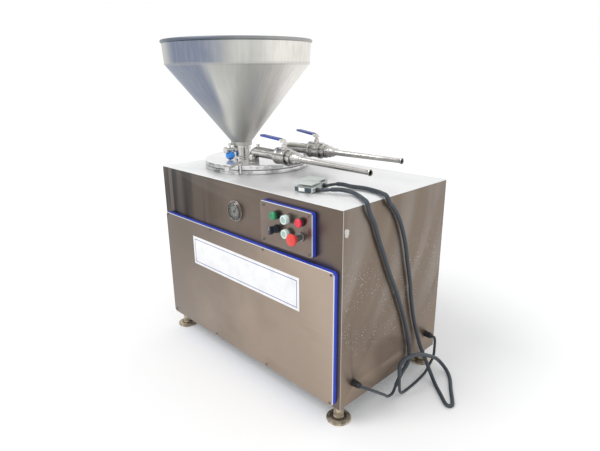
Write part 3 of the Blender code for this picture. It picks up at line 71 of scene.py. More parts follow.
PANEL_FACE = -0.302
CONTROL_FACE = -0.299
BUTTON_X = (0.231, 0.29, 0.347)
BUTTON_Z = (0.677, 0.63)
BARREL_X = -0.221
LID_RADIUS = 0.213
LID_TOP = 0.7775
LID_FOOT = 0.7595
FLANGE_TOP = 0.758
TOP = 0.742
HOPPER = (-0.23, -0.07)
INLET_Z = 0.8195
KNOB_Z = 0.797
CLAMP_ANGLE = math.radians(57)
CLAMP_CIRCLE = 0.207
GAUGE = (-0.008, 0.64)
FOOT_SPOT = (0.466, 0.248)
GLANDS = {"front": (-0.215, 0.14), "rear": (0.218, 0.144)}
OUTWARD = {"front": -1, "rear": 1}
PIPE_REACH = {"front": 0.154, "rear": 0.135}
HORN_REACH = {"front": 0.448, "rear": 0.422}
OUTLET = (-0.135, 0.086, 0.82)
OUTLET_TURN = math.radians(3)
PIPE_RADIUS = 0.0205
STEM_X = 0.035
SWITCHES = {"front": (0.2673, -0.1905), "rear": (0.2413, -0.1305)}
SWITCH_TURN = math.radians(12)
CABLE_STEP = 0.006
# Level direction across the machine towards which the polished rounds get paler: painted light there,
# painted dark reflection on their far side
PALER = (0.61, 0.79)


def mm(*points):
    """Points given in millimetres, as metres."""
    return [tuple(c / 1000 for c in point) for point in points]


# Routes of the cables, from each foot switch to its gland, and the stretch in the thicker sleeve
ROUTES = {
    "front": mm((301.2, -183.3, 751), (312, -181, 751), (329, -171, 752), (345, -160, 755),
        (370, -144, 756), (399, -133, 752.5), (430, -139, 750.2), (464, -159, 750.2), (489, -177, 751.5),
        (504, -185.5, 750.5), (512, -187.5, 742), (513.5, -184, 727), (513, -172, 706), (512, -150, 674),
        (512, -126, 620), (512, -95, 559), (512, -58, 483), (512, -23, 420), (512, 4, 366), (512, 46, 273),
        (512, 78, 180), (513, 91, 120), (518, 79, 90), (527, 25, 72), (530, -11, 41), (535, -38.5, 24.3),
        (541, -75, 34), (545, -101, 55.5), (550, -140, 86), (554, -178, 116), (550, -206, 136),
        (539, -215, 140), (530.4, -215, 140)),
    "rear": mm((275.2, -123.3, 752), (285.9, -121, 752), (297, -111, 755), (306, -90, 756),
        (323, -74, 753.5), (349, -68, 750.5), (401, -57, 750.2), (458, -66, 750.2), (487, -80.5, 751.5),
        (504, -87, 750.5), (512, -87, 742), (513.5, -80, 727), (513, -59, 710), (512, -28, 674),
        (512, -1, 626), (512, 25, 562), (512, 43, 497), (512, 67, 413), (512, 83, 338), (512, 110, 247),
        (516, 147, 148), (528, 156, 105), (550, 160, 59), (575, 155, 23), (608, 131, 8), (650, 95, 7.5),
        (679, 69, 7.5), (697, 59, 7.5), (707, 68, 7.5), (700, 88, 7.5), (660, 148, 7.5), (621, 209, 7.5),
        (584, 242, 15), (562, 207, 65), (565, 117, 123), (567, 63, 150), (567, 5, 167), (565, -31, 167),
        (562, -43, 148), (558, -34.5, 100), (556, -29, 64), (550, -13, 25), (545, 14, 7), (545, 44, 5.5),
        (543, 104, 5.5), (537, 170, 8), (537, 204, 32), (541, 219, 62), (544, 217, 98), (544, 216, 131),
        (539, 218, 144), (530.4, 218, 144)),
}
SLEEVED = {"front": (3, 24), "rear": (3, 39)}


def linear(red, green, blue):
    """A colour given as 0 to 255 for a screen, as the shader's own numbers."""
    parts = [value / 255 for value in (red, green, blue)]
    return tuple(part / 12.92 if part <= 0.04045 else ((part + 0.055) / 1.055) ** 2.4 for part in parts)


def length_property(name, description, default):
    return bpy.props.FloatProperty(name=name, description=description, default=default, min=0.0,
                                   unit="LENGTH", subtype="DISTANCE", precision=4)


def colour_property(name, description, default):
    return bpy.props.FloatVectorProperty(name=name, description=description, default=linear(*default),
                                         min=0.0, max=1.0, size=3, subtype="COLOR")


class StufferSizes(bpy.types.PropertyGroup):
    cable: length_property("Cable", "Diameter of the bare cable at both ends", 0.01)
    sleeve: length_property("Sleeve", "Diameter of the sleeve over most of each cable", 0.014)
    seam: length_property("Seam", "Radius of the hopper's weld beads", 0.0012)
    screw: length_property("Screw head", "Radius of the panel screws' heads", 0.005)
    sign: length_property("Sign plate", "Thickness of the bare sign plate", 0.0012)
    edge: length_property("Sheet edge", "Rounding of the folded sheets' edges", 0.0009)
    floor: length_property("Floor", "Half the width of the floor around the machine", 40.0)
    round_sides: bpy.props.IntProperty(name="Sides of small rounds", default=48, min=12, max=128,
                                       description="How many sides the small turned pieces have")
    wide_sides: bpy.props.IntProperty(name="Sides of wide rounds", default=128, min=32, max=256,
                                      description="How many sides the hopper, the lid and the barrel have")


class StufferColours(bpy.types.PropertyGroup):
    front: colour_property("Front sheet", "Brown-grey steel of the front sheet", (122, 109, 99))
    # Colour of the painted dark reflection bands on the front sheet's left.
    front_painted_reflection: colour_property("Front sheet, dark", "Darker bands at the front sheet's left", (24, 26, 28))
    panel: colour_property("Lower panel", "Steel of the lower panel", (170, 154, 140))
    panel_dark: colour_property("Lower panel, dark", "Darker clouds of the lower panel", (150, 136, 124))
    plate: colour_property("Control plate", "Steel of the control plate", (135, 121, 112))
    side: colour_property("Side walls", "Steel of the cabinet's walls", (135, 120, 107))
    side_pale: colour_property("Side walls, pale", "Paler streaks on the cabinet's walls", (150, 140, 131))
    top: colour_property("Top plate", "Polished steel of the top plate and the lid", (250, 250, 250))
    bright: colour_property("Bright steel", "Polished steel of valves, pipes and horns", (226, 224, 220))
    hopper: colour_property("Hopper", "Spun steel of the hopper's middle", (204, 204, 199))
    # Colours of the hopper's painted bluish reflection and painted pale highlight.
    hopper_painted_reflection: colour_property("Hopper, bluish", "Blue-grey sheen of the hopper's left", (112, 122, 146))
    hopper_painted_highlight: colour_property("Hopper, pale", "Pale sheen of the hopper's right", (236, 232, 226))
    film: colour_property("Blue film", "Protective film left on the panels' bent edges", (58, 82, 208))
    foot: colour_property("Feet", "Dirty steel of the levelling feet", (196, 184, 164))
    cable: colour_property("Cables", "Dark grey of cables and sleeves", (56, 64, 72))
    knob: colour_property("Ball knob", "Blue plastic of the inlet valve's knob", (30, 150, 255))
    vinyl: colour_property("Lever sleeves", "Dipped vinyl on the ball valves' levers", (48, 74, 170))
    green: colour_property("Green button", "Green of the start button", (14, 148, 92))
    red: colour_property("Red button", "Red of the stop button", (236, 28, 66))
    mushroom: colour_property("Mushroom button", "Red of the large mushroom button", (228, 62, 54))
    white: colour_property("White buttons", "Pale green-white of two buttons", (216, 234, 230))
    lens: colour_property("White buttons, middle", "Greyer middle of the white buttons", (160, 192, 181))
    navy: colour_property("Selector", "Dark blue of the selector knob", (30, 38, 52))
    cast: colour_property("Foot switches", "Grey paint of the foot switches", (206, 212, 208))
    slate: colour_property("Switch face", "Dark face of the front foot switch", (58, 73, 84))
    dial: colour_property("Gauge dial", "Face of the pressure gauge", (124, 126, 118))
    machine: colour_property("Hydraulics", "Paint of the tank, motor and cylinder", (72, 96, 112))
    frame: colour_property("Base frame", "Paint of the welded base frame", (92, 92, 92))
    floor: colour_property("Floor", "Plain pale floor", (247, 247, 247))


class Wire:
    """One value in a finish. Arithmetic on it adds Math nodes."""

    def __init__(self, recipe, socket):
        self.recipe = recipe
        self.socket = socket

    def math(self, operation, first, second):
        return self.recipe.node("Math", {"operation": operation}, {0: first, 1: second})

    def __add__(self, other):
        return self.math("ADD", self, other)

    def __radd__(self, other):
        return self.math("ADD", other, self)

    def __sub__(self, other):
        return self.math("SUBTRACT", self, other)

    def __rsub__(self, other):
        return self.math("SUBTRACT", other, self)

    def __mul__(self, other):
        return self.math("MULTIPLY", self, other)

    def __rmul__(self, other):
        return self.math("MULTIPLY", other, self)

    def __truediv__(self, other):
        return self.math("DIVIDE", self, other)

    def __pow__(self, other):
        return self.math("POWER", self, other)

    def most(self, other):
        return self.math("MAXIMUM", self, other)

    def least(self, other):
        return self.math("MINIMUM", self, other)


class Recipe:
    """A finish: one Principled shader and the nodes that feed it."""

    def __init__(self, name, metallic=0.0, roughness=0.4, **constants):
        self.material = bpy.data.materials.new(name)
        self.material.use_nodes = True
        self.tree = self.material.node_tree
        self.shader = self.tree.nodes["Principled BSDF"]
        self.shader.inputs["Metallic"].default_value = metallic
        self.shader.inputs["Roughness"].default_value = roughness
        for key, value in constants.items():
            self.shader.inputs[key.replace("_", " ")].default_value = value
        self.spot = self.node("TexCoord", output="Object")

    def node(self, kind, settings=None, inputs=None, output=0):
        """Adds a node of that kind, sets it, feeds its sockets and returns one output."""
        made = self.tree.nodes.new("ShaderNode" + kind)
        for key, value in (settings or {}).items():
            if key == "stops":
                for i, (place, shade) in enumerate(value):
                    stops = made.color_ramp.elements
                    stop = stops[i] if i < len(stops) else stops.new(place)
                    stop.position = place
                    stop.color = (*shade, 1) if isinstance(shade, tuple) else (shade, shade, shade, 1)
            else:
                setattr(made, key, value)
        for key, value in (inputs or {}).items():
            self.feed(made.inputs[key], value)
        return Wire(self, made.outputs[output])

    def feed(self, socket, value):
        if isinstance(value, Wire):
            self.tree.links.new(value.socket, socket)
        elif socket.type == "RGBA":
            socket.default_value = (*tuple(value)[:3], 1)
        else:
            socket.default_value = value

    def set(self, name, value):
        self.feed(self.shader.inputs[name], value)

    def done(self, tone, roughness, height=None, strength=0.0, distance=0.0):
        """Feeds base colour, roughness and, with a height, the bump."""
        self.set("Base Color", tone)
        self.set("Roughness", roughness)
        if height is not None:
            self.set("Normal", self.bump(height, strength, distance))
        return self

    def axis(self, letter):
        return self.node("SeparateXYZ", None, {0: self.spot}, letter)

    def axes(self):
        return [self.axis(letter) for letter in "XYZ"]

    def vector(self, x, y, z):
        return self.node("CombineXYZ", None, {0: x, 1: y, 2: z})

    def around(self, centre_x, centre_y):
        """Direction and distance from an upright axis, and the height."""
        x, y, z = self.axes()
        x, y = x - centre_x, y - centre_y
        across = (x ** 2 + y ** 2) ** 0.5 + 0.0001
        return x / across, y / across, across, z

    def stretched(self, scale, move=(0, 0, 0)):
        moved = self.node("VectorMath", {"operation": "ADD"}, {0: self.spot, 1: move})
        return self.node("VectorMath", {"operation": "MULTIPLY"}, {0: moved, 1: scale})

    def noise(self, scale, detail=3.0, rough=0.55, vector=None):
        return self.node("TexNoise", None, {"Vector": vector or self.spot, "Scale": scale, "Detail": detail,
                                            "Roughness": rough})

    def spots(self, scale, vector=None):
        return self.node("TexVoronoi", None, {"Vector": vector or self.spot, "Scale": scale})

    def band(self, value, low, high):
        """0 below low, 1 above high, smooth between; the other way round where low is the larger."""
        return self.node("MapRange", {"interpolation_type": "SMOOTHSTEP"},
                         {"Value": value, "From Min": low, "From Max": high})

    def blend(self, mask, first, second):
        return self.node("Mix", {"data_type": "RGBA"}, {0: mask, 6: first, 7: second}, 2)

    def bump(self, height, strength, distance):
        inputs = {"Height": height, "Strength": strength, "Distance": distance}
        return self.node("Bump", None, inputs, "Normal")


def shaded(colour, factor):
    return tuple(min(1.0, c * factor) for c in tuple(colour)[:3])


def steel(name, colour, roughness, grain, dark=0.8, clouds=4.0, mark=0.05, metallic=1.0):
    """Brushed or polished steel: fine grain along one direction, soft clouds and small scratches."""
    recipe = Recipe(name, metallic=metallic, roughness=roughness)
    cloud = recipe.noise(clouds, 4.0, 0.6)
    lines = recipe.noise(1.0, 3.0, 0.6, recipe.stretched(grain))
    scratches = recipe.band(recipe.noise(1.0, 2.0, 0.5, recipe.stretched((60, 75, 420))), 0.7, 0.78)
    tone = recipe.blend(recipe.band(cloud, 0.3, 0.7), shaded(colour, dark), colour)
    tone = recipe.blend(lines * 0.3, tone, shaded(colour, dark * 0.8))
    tone = recipe.blend(scratches * mark * 4, tone, (0.9, 0.9, 0.9))
    return recipe.done(tone, roughness - 0.04 + lines * 0.1 + cloud * 0.05, lines, 0.12, 0.0003)


def low_steel(name, colour, roughness, grain, reach, shade=0.15):
    """Polished steel of the outlets: bright above, with painted shade towards the underside of a level round
    and a painted dark reflection streak along its upper side.
    """
    recipe = Recipe(name, metallic=1.0, roughness=roughness)
    axis = OUTLET[2]
    cloud = recipe.noise(24.0, 4.0, 0.6)
    lines = recipe.noise(1.0, 3.0, 0.6, recipe.stretched(grain))
    height = recipe.axis("Z") + cloud * reach * 0.3
    # Painted shade: the round darkens towards its underside.
    under = recipe.band(height, axis + reach * shade, axis + reach * (shade - 0.45))
    # Painted reflection: a dark streak along the upper side of the round, above its axis.
    streak = recipe.band(height, axis + reach * 0.62, axis + reach * 0.5)
    streak = streak * recipe.band(height, axis + reach * 0.28, axis + reach * 0.4)
    tone = recipe.blend(recipe.band(cloud, 0.3, 0.7), shaded(colour, 0.8), colour)
    tone = recipe.blend(lines * 0.25, tone, shaded(colour, 0.62))
    tone = recipe.blend((under * 0.85).most(streak * 0.7), tone, shaded(colour, 0.22))
    return recipe.done(tone, roughness - 0.04 + lines * 0.1 + cloud * 0.05, lines, 0.12, 0.0003)


def front_steel(name, colours):
    """Front sheet: brown-grey brushed steel with painted dark reflection bands towards its left and a
    painted darker top.
    """
    recipe = Recipe(name, metallic=1.0, roughness=0.26)
    x, z = recipe.axis("X"), recipe.axis("Z")
    cloud = recipe.noise(5.0, 4.0, 0.6)
    lines = recipe.noise(1.0, 3.0, 0.6, recipe.stretched((520, 520, 5)))
    waves = recipe.noise(1.0, 1.5, 0.5, recipe.stretched((17, 1, 1.2)))
    # Painted reflection: dark upright bands over the sheet's left, with a paler strip among them.
    left = recipe.band(x + cloud * 0.05, 0.02, -0.42)
    bands = recipe.band(waves, 0.38, 0.62)
    tone = recipe.blend(recipe.band(cloud, 0.3, 0.7), shaded(colours.front, 0.86), colours.front)
    # Painted reflection: the sheet darker towards its top.
    tone = recipe.blend(recipe.band(z, 0.56, 0.74) * 0.25, tone, shaded(colours.front, 0.78))
    tone = recipe.blend(left * (0.55 + bands * 0.45), tone, colours.front_painted_reflection)
    strip = recipe.band(x, -0.47, -0.462).least(recipe.band(x, -0.436, -0.444))
    tone = recipe.blend(strip * 0.65, tone, colours.front)
    tone = recipe.blend(lines * 0.22, tone, shaded(colours.front, 0.55))
    return recipe.done(tone, 0.3 + lines * 0.1 + cloud * 0.06, lines + waves * 0.6, 0.1, 0.0003)


def pan_steel(name, pale, deep, film, face, top, right, scale=3.0, painted_shading=0.0):
    """A shallow pan of brushed steel: bare face, pale bent rim with a painted highlight, blue film left on
    the bent sides, painted shade deepening to the left and, where asked, painted shade at the upper left
    with a painted pale reflection at the right.
    """
    recipe = Recipe(name, metallic=1.0, roughness=0.3)
    x, y, z = recipe.axes()
    cloud = recipe.noise(scale, 4.0, 0.6)
    lines = recipe.noise(1.0, 3.0, 0.6, recipe.stretched((4, 420, 520)))
    smears = recipe.noise(1.0, 2.0, 0.5, recipe.stretched((3.5, 2, 9), (0.3, 0, 0.1)))
    wall = recipe.band(y, face + 0.0012, face + 0.002)
    rim = recipe.band(z, top - 0.0034, top - 0.0014).most(recipe.band(x, right - 0.0034, right - 0.0014))
    wrinkle = recipe.noise(160.0, 2.0, 0.6)
    # Random clouds of the two tones, with painted shade deepening towards the left.
    tone = recipe.blend(recipe.band(cloud + x * 0.35, 0.3, 0.68), deep, pale)
    tone = recipe.blend(recipe.band(smears, 0.52, 0.7) * 0.35, tone, shaded(deep, 0.86))
    # Painted shade at the upper left, and on the next line a painted pale reflection at the right.
    tone = recipe.blend(recipe.band(z * 0.8 - x, 0.2, 0.85) * painted_shading, tone, shaded(pale, 0.36))
    tone = recipe.blend(recipe.band(x + z * 0.5, 0.42, 0.68) * painted_shading, tone, shaded(pale, 1.2))
    tone = recipe.blend(lines * 0.18, tone, shaded(deep, 0.7))
    # Painted highlight along the pale bent rim.
    tone = recipe.blend(rim * 0.85, tone, (0.86, 0.86, 0.88))
    blue = recipe.blend(wrinkle, shaded(film, 0.75), shaded(film, 1.25))
    tone = recipe.blend(wall, tone, blue)
    recipe.set("Metallic", 1 - wall)
    relief = lines * (1 - wall) + wrinkle * wall * 2
    return recipe.done(tone, 0.26 + lines * 0.08 + cloud * 0.06 + wall * 0.1, relief, 0.1, 0.0004)


def side_steel(name, colours):
    """Cabinet walls: brown-grey steel with curved pale streaks, dust specks, a torn scrap of film, a painted
    highlight down the front corner and a painted pale reflection towards the floor.
    """
    recipe = Recipe(name, metallic=1.0, roughness=0.42)
    x, y, z = recipe.axes()
    cloud = recipe.noise(2.6, 4.0, 0.6)
    lines = recipe.noise(1.0, 3.0, 0.6, recipe.stretched((420, 420, 5)))
    bent = recipe.vector(y + (z - 0.74) * (z - 0.74) * 0.9, x, z * 0.12)
    sweeps = recipe.noise(11.0, 2.0, 0.5, bent)
    patches = recipe.band(recipe.noise(7.0, 3.0, 0.6), 0.42, 0.62)
    dots = recipe.band(recipe.spots(135.0), 0.25, 0.13)
    specks = dots * recipe.band(recipe.noise(44.0, 2.0, 0.6), 0.43, 0.55)
    specks = specks * patches * recipe.band(z, 0.66, 0.46) * recipe.band(z, 0.12, 0.26)
    # Painted highlight down the walls' front right corner.
    painted_corner_highlight = recipe.band(x, 0.492, 0.4935) * recipe.band(y, -0.2495, -0.252)
    ragged = recipe.noise(60.0, 4.0, 0.7)
    scrap = ((y + 0.236) / 0.013) ** 2 + ((z - 0.668) / 0.016) ** 2 + ragged * 3.0
    scrap = recipe.band(scrap, 2.2, 1.9) * recipe.band(x, 0.48, 0.485)
    pale = recipe.band(sweeps + (z - 0.45) * 0.3, 0.36, 0.72) * recipe.band(z, 0.1, 0.5)
    tone = recipe.blend(pale, shaded(colours.side, 0.96), colours.side_pale)
    tone = recipe.blend(recipe.band(cloud, 0.35, 0.65) * 0.4, tone, shaded(colours.side, 0.9))
    tone = recipe.blend(lines * 0.2, tone, shaded(colours.side, 0.6))
    # Painted reflection: the walls paler towards the floor.
    tone = recipe.blend(recipe.band(z, 0.34, 0.1) * 0.7, tone, shaded(colours.side, 1.45))
    # Dust specks, the painted corner highlight and the film scrap share one pale colour.
    tone = recipe.blend((specks * 0.8).most(painted_corner_highlight * 0.75).most(scrap * 0.8), tone, (0.74, 0.72, 0.69))
    recipe.set("Metallic", 1 - specks * 0.7 - scrap * 0.7)
    relief = lines * 0.5 + specks * 0.8 + scrap
    return recipe.done(tone, 0.36 + lines * 0.09 + cloud * 0.08 + specks * 0.2, relief, 0.14, 0.0004)


def lid_steel(name, colour, roughness, low, high, metallic=1.0):
    """Turned steel whose upright side carries a painted dark reflection, streaked upright and deepest away
    from PALER, and painted shade at its foot; level tool lines.
    """
    recipe = Recipe(name, metallic=metallic, roughness=roughness)
    turn_x, turn_y, across, z = recipe.around(BARREL_X + MIDDLE.x, MIDDLE.y)
    # Upright streaks of the painted dark reflection on the side.
    smear = recipe.noise(5.0, 3.0, 0.6, recipe.vector(turn_x, turn_y, z * 6.0))
    grain = recipe.noise(1.0, 2.0, 0.5, recipe.vector(across * 900, 0.0, z * 900))
    cloud = recipe.noise(6.0, 3.0, 0.6)
    side = recipe.band(z, high, high - 0.0006) * recipe.band(across, 0.2095, 0.2118)
    # Painted reflection: the side away from PALER darker.
    shade = recipe.band(turn_x * PALER[0] + turn_y * PALER[1], 0.1, -0.8)
    # Painted shade at the foot of the side, where it sits on the part below.
    foot = recipe.band(z, low + 0.005, low + 0.001)
    tone = recipe.blend(recipe.band(cloud, 0.3, 0.7), shaded(colour, 0.92), colour)
    tone = recipe.blend(grain * 0.2, tone, shaded(colour, 0.72))
    # Painted dark reflection and shade, only on the upright side: upright streaks, the side away from PALER
    # and the foot.
    dark = ((recipe.band(smear, 0.45, 0.6) * 0.45 + shade * 0.45).most(foot * 0.55)) * side
    tone = recipe.blend(dark, tone, shaded(colour, 0.18))
    return recipe.done(tone, roughness - 0.03 + grain * 0.08 + cloud * 0.04, grain, 0.08, 0.0002)


def hopper_steel(name, colours):
    """Spun and polished sheet with long soft streaks down the cone, a painted bluish reflection on one side,
    a painted pale highlight on the other, painted shade on the lower cone and a painted dark reflection on
    the rolled rim.
    """
    recipe = Recipe(name, metallic=1.0, roughness=0.3)
    turn_x, turn_y, across, z = recipe.around(HOPPER[0] + MIDDLE.x, HOPPER[1] + MIDDLE.y)
    streak = recipe.noise(2.6, 3.0, 0.55, recipe.vector(turn_x, turn_y, z * 0.9))
    fine = recipe.noise(26.0, 2.0, 0.6, recipe.vector(turn_x, turn_y, z * 0.5))
    rings = recipe.noise(1.0, 2.0, 0.5, recipe.vector(across * 30, 0.0, z * 420))
    cloud = recipe.noise(9.0, 4.0, 0.65)
    band = recipe.band(z, 1.142, 1.147)
    # How far a spot faces towards PALER, which places the painted highlight and the painted bluish
    # reflection.
    facing = turn_x * PALER[0] + turn_y * PALER[1] + (streak - 0.5) * 0.3
    tone = recipe.blend(recipe.band(streak, 0.34, 0.66), shaded(colours.hopper, 0.86), colours.hopper)
    # Painted pale highlight on the side towards PALER.
    tone = recipe.blend(recipe.band(facing, 0.05, 0.55), tone, colours.hopper_painted_highlight)
    low = recipe.band(z, 1.00, 0.9) * (1 - band)
    # Painted bluish reflection on the side away from PALER, weaker on the lower cone, and on the band.
    blue = recipe.band(facing, -0.3 - low * 0.1, -0.5 - low * 0.1)
    band_blue = recipe.band(facing, -0.02, -0.45) * recipe.band(facing, -0.97, -0.78)
    blue = (blue * (0.85 - low * 0.35)) * (1 - band) + band_blue * band * 0.9
    tone = recipe.blend(blue, tone, colours.hopper_painted_reflection)
    tone = recipe.blend(recipe.band(fine, 0.4, 0.7) * 0.22, tone, shaded(colours.hopper, 0.7))
    tone = recipe.blend(recipe.band(cloud, 0.45, 0.75) * 0.2, tone, shaded(colours.hopper, 0.8))
    # Painted shade: the lower cone darker.
    lower = recipe.band(z, 1.06, 0.9) * (1 - band)
    tone = recipe.blend(lower * 0.55, tone, shaded(colours.hopper, 0.58))
    seam = recipe.band(z, 1.1375, 1.14) * recipe.band(z, 1.151, 1.1485)
    tone = recipe.blend(seam * 0.35, tone, (0.42, 0.41, 0.4))
    # Painted dark reflection on the rolled rim, paler towards PALER.
    rim = recipe.band(z, 1.2178, 1.2196)
    edge = recipe.blend(recipe.band(facing, -0.5, 0.8), (0.12, 0.14, 0.17), (0.3, 0.31, 0.31))
    tone = recipe.blend(rim * 0.85, tone, edge)
    return recipe.done(tone, 0.36 + rings * 0.06 + cloud * 0.08, rings * 0.4 + cloud * 0.8, 0.1, 0.0006)


def foot_steel(name, colours):
    """Dirty, rust-flecked steel of the levelling feet, with a ring of painted shade where the stem meets the
    disc.
    """
    recipe = Recipe(name, metallic=1.0, roughness=0.48)
    dirt = recipe.noise(60.0, 5.0, 0.7)
    rust = recipe.band(recipe.noise(130.0, 4.0, 0.7), 0.55, 0.7)
    tone = recipe.blend(recipe.band(dirt, 0.4, 0.6), shaded(colours.foot, 0.55), shaded(colours.foot, 1.15))
    z = recipe.axis("Z")
    # Painted shade in the corner where the stem meets the disc.
    painted_stem_shade = recipe.band(z, 0.015, 0.012) * recipe.band(z, 0.0096, 0.0112)
    tone = recipe.blend(painted_stem_shade * 0.75, tone, (0.06, 0.042, 0.03))
    tone = recipe.blend(rust * 0.6, tone, (0.2, 0.1, 0.05))
    recipe.set("Metallic", 1 - rust * 0.8)
    return recipe.done(tone, 0.4 + dirt * 0.25, dirt, 0.35, 0.0006)


def plastic(name, colour, roughness, mottle, coat=0.0, grain=220.0, bump=0.05):
    """Moulded plastic, rubber or paint: a little mottled, with a fine skin."""
    recipe = Recipe(name, roughness=roughness, Coat_Weight=coat)
    skin = recipe.noise(grain, 3.0, 0.6)
    wide = recipe.noise(grain / 9, 3.0, 0.6)
    tone = recipe.blend(wide, shaded(colour, 1 - mottle), shaded(colour, 1 + mottle))
    return recipe.done(tone, roughness - 0.05 + skin * 0.08 + wide * 0.04, skin, bump, 0.0003)


def knob_plastic(name, colours):
    """Glossy plastic of the ball knob, with painted shade towards its underside."""
    recipe = Recipe(name, roughness=0.2, Coat_Weight=0.5)
    z = recipe.axis("Z")
    skin = recipe.noise(220.0, 3.0, 0.6)
    # Painted shade: the ball darker towards its underside.
    under = recipe.band(z, KNOB_Z + 0.004, KNOB_Z - 0.017)
    tone = recipe.blend(skin, shaded(colours.knob, 0.92), shaded(colours.knob, 1.08))
    return recipe.done(recipe.blend(under, tone, shaded(colours.knob, 0.3)), 0.16 + skin * 0.08)


def cable_skin(name, colours):
    """Dull cable jacket with scuffs and dust."""
    recipe = Recipe(name, roughness=0.55)
    scuff = recipe.band(recipe.noise(70.0, 4.0, 0.7), 0.52, 0.72)
    skin = recipe.noise(600.0, 2.0, 0.5)
    tone = recipe.blend(scuff * 0.5, colours.cable, shaded(colours.cable, 1.9))
    return recipe.done(tone, 0.45 + scuff * 0.15 + skin * 0.06, skin, 0.15, 0.0003)


def dial_print(name, colours):
    """Gauge face: pale middle, dark scale ring, pale outer edge."""
    recipe = Recipe(name, roughness=0.42)
    x, z = recipe.axis("X"), recipe.axis("Z")
    across = ((x - (MIDDLE.x + GAUGE[0])) ** 2 + (z - GAUGE[1]) ** 2) ** 0.5
    ring = recipe.band(across, 0.0205, 0.021) * recipe.band(across, 0.029, 0.0286)
    fibre = recipe.noise(300.0, 3.0, 0.6)
    tone = recipe.blend(fibre, shaded(colours.dial, 0.92), colours.dial)
    return recipe.done(recipe.blend(ring, tone, (0.055, 0.058, 0.06)), 0.38 + fibre * 0.08)


def glass_pane(name, colours):
    """Clear pane that lets the dial show through."""
    recipe = Recipe(name, roughness=0.04)
    smear = recipe.noise(90.0, 2.0, 0.5)
    recipe.set("Alpha", 0.06 + smear * 0.05)
    return recipe.done(recipe.blend(smear, (0.3, 0.32, 0.31), (0.44, 0.46, 0.45)), 0.03 + smear * 0.05)


def weld_steel(name, colours):
    """Rippled weld bead with a straw-blue heat tint."""
    recipe = Recipe(name, metallic=1.0, roughness=0.34)
    ripple = recipe.noise(900.0, 2.0, 0.5)
    tint = recipe.noise(45.0, 3.0, 0.6)
    tone = recipe.blend(recipe.band(tint, 0.4, 0.6), (0.44, 0.42, 0.42), (0.62, 0.58, 0.52))
    return recipe.done(tone, 0.28 + ripple * 0.15, ripple, 0.35, 0.0005)


def sign_enamel(name, colours):
    """White enamel of the bare sign plate, faintly dusty."""
    recipe = Recipe(name, roughness=0.35)
    dust = recipe.noise(14.0, 4.0, 0.65)
    tone = recipe.blend(recipe.band(dust, 0.4, 0.75), (0.9, 0.9, 0.91), (0.8, 0.8, 0.81))
    return recipe.done(tone, 0.3 + dust * 0.12)


def tinted(make, colour, *settings):
    """A finish in a fixed colour, or in one of the panel's, by its name alone or with a shade."""
    def made(name, colours):
        if isinstance(colour, str):
            return make(name, getattr(colours, colour), *settings)
        if isinstance(colour[0], str):
            return make(name, shaded(getattr(colours, colour[0]), colour[1]), *settings)
        return make(name, colour, *settings)
    return made


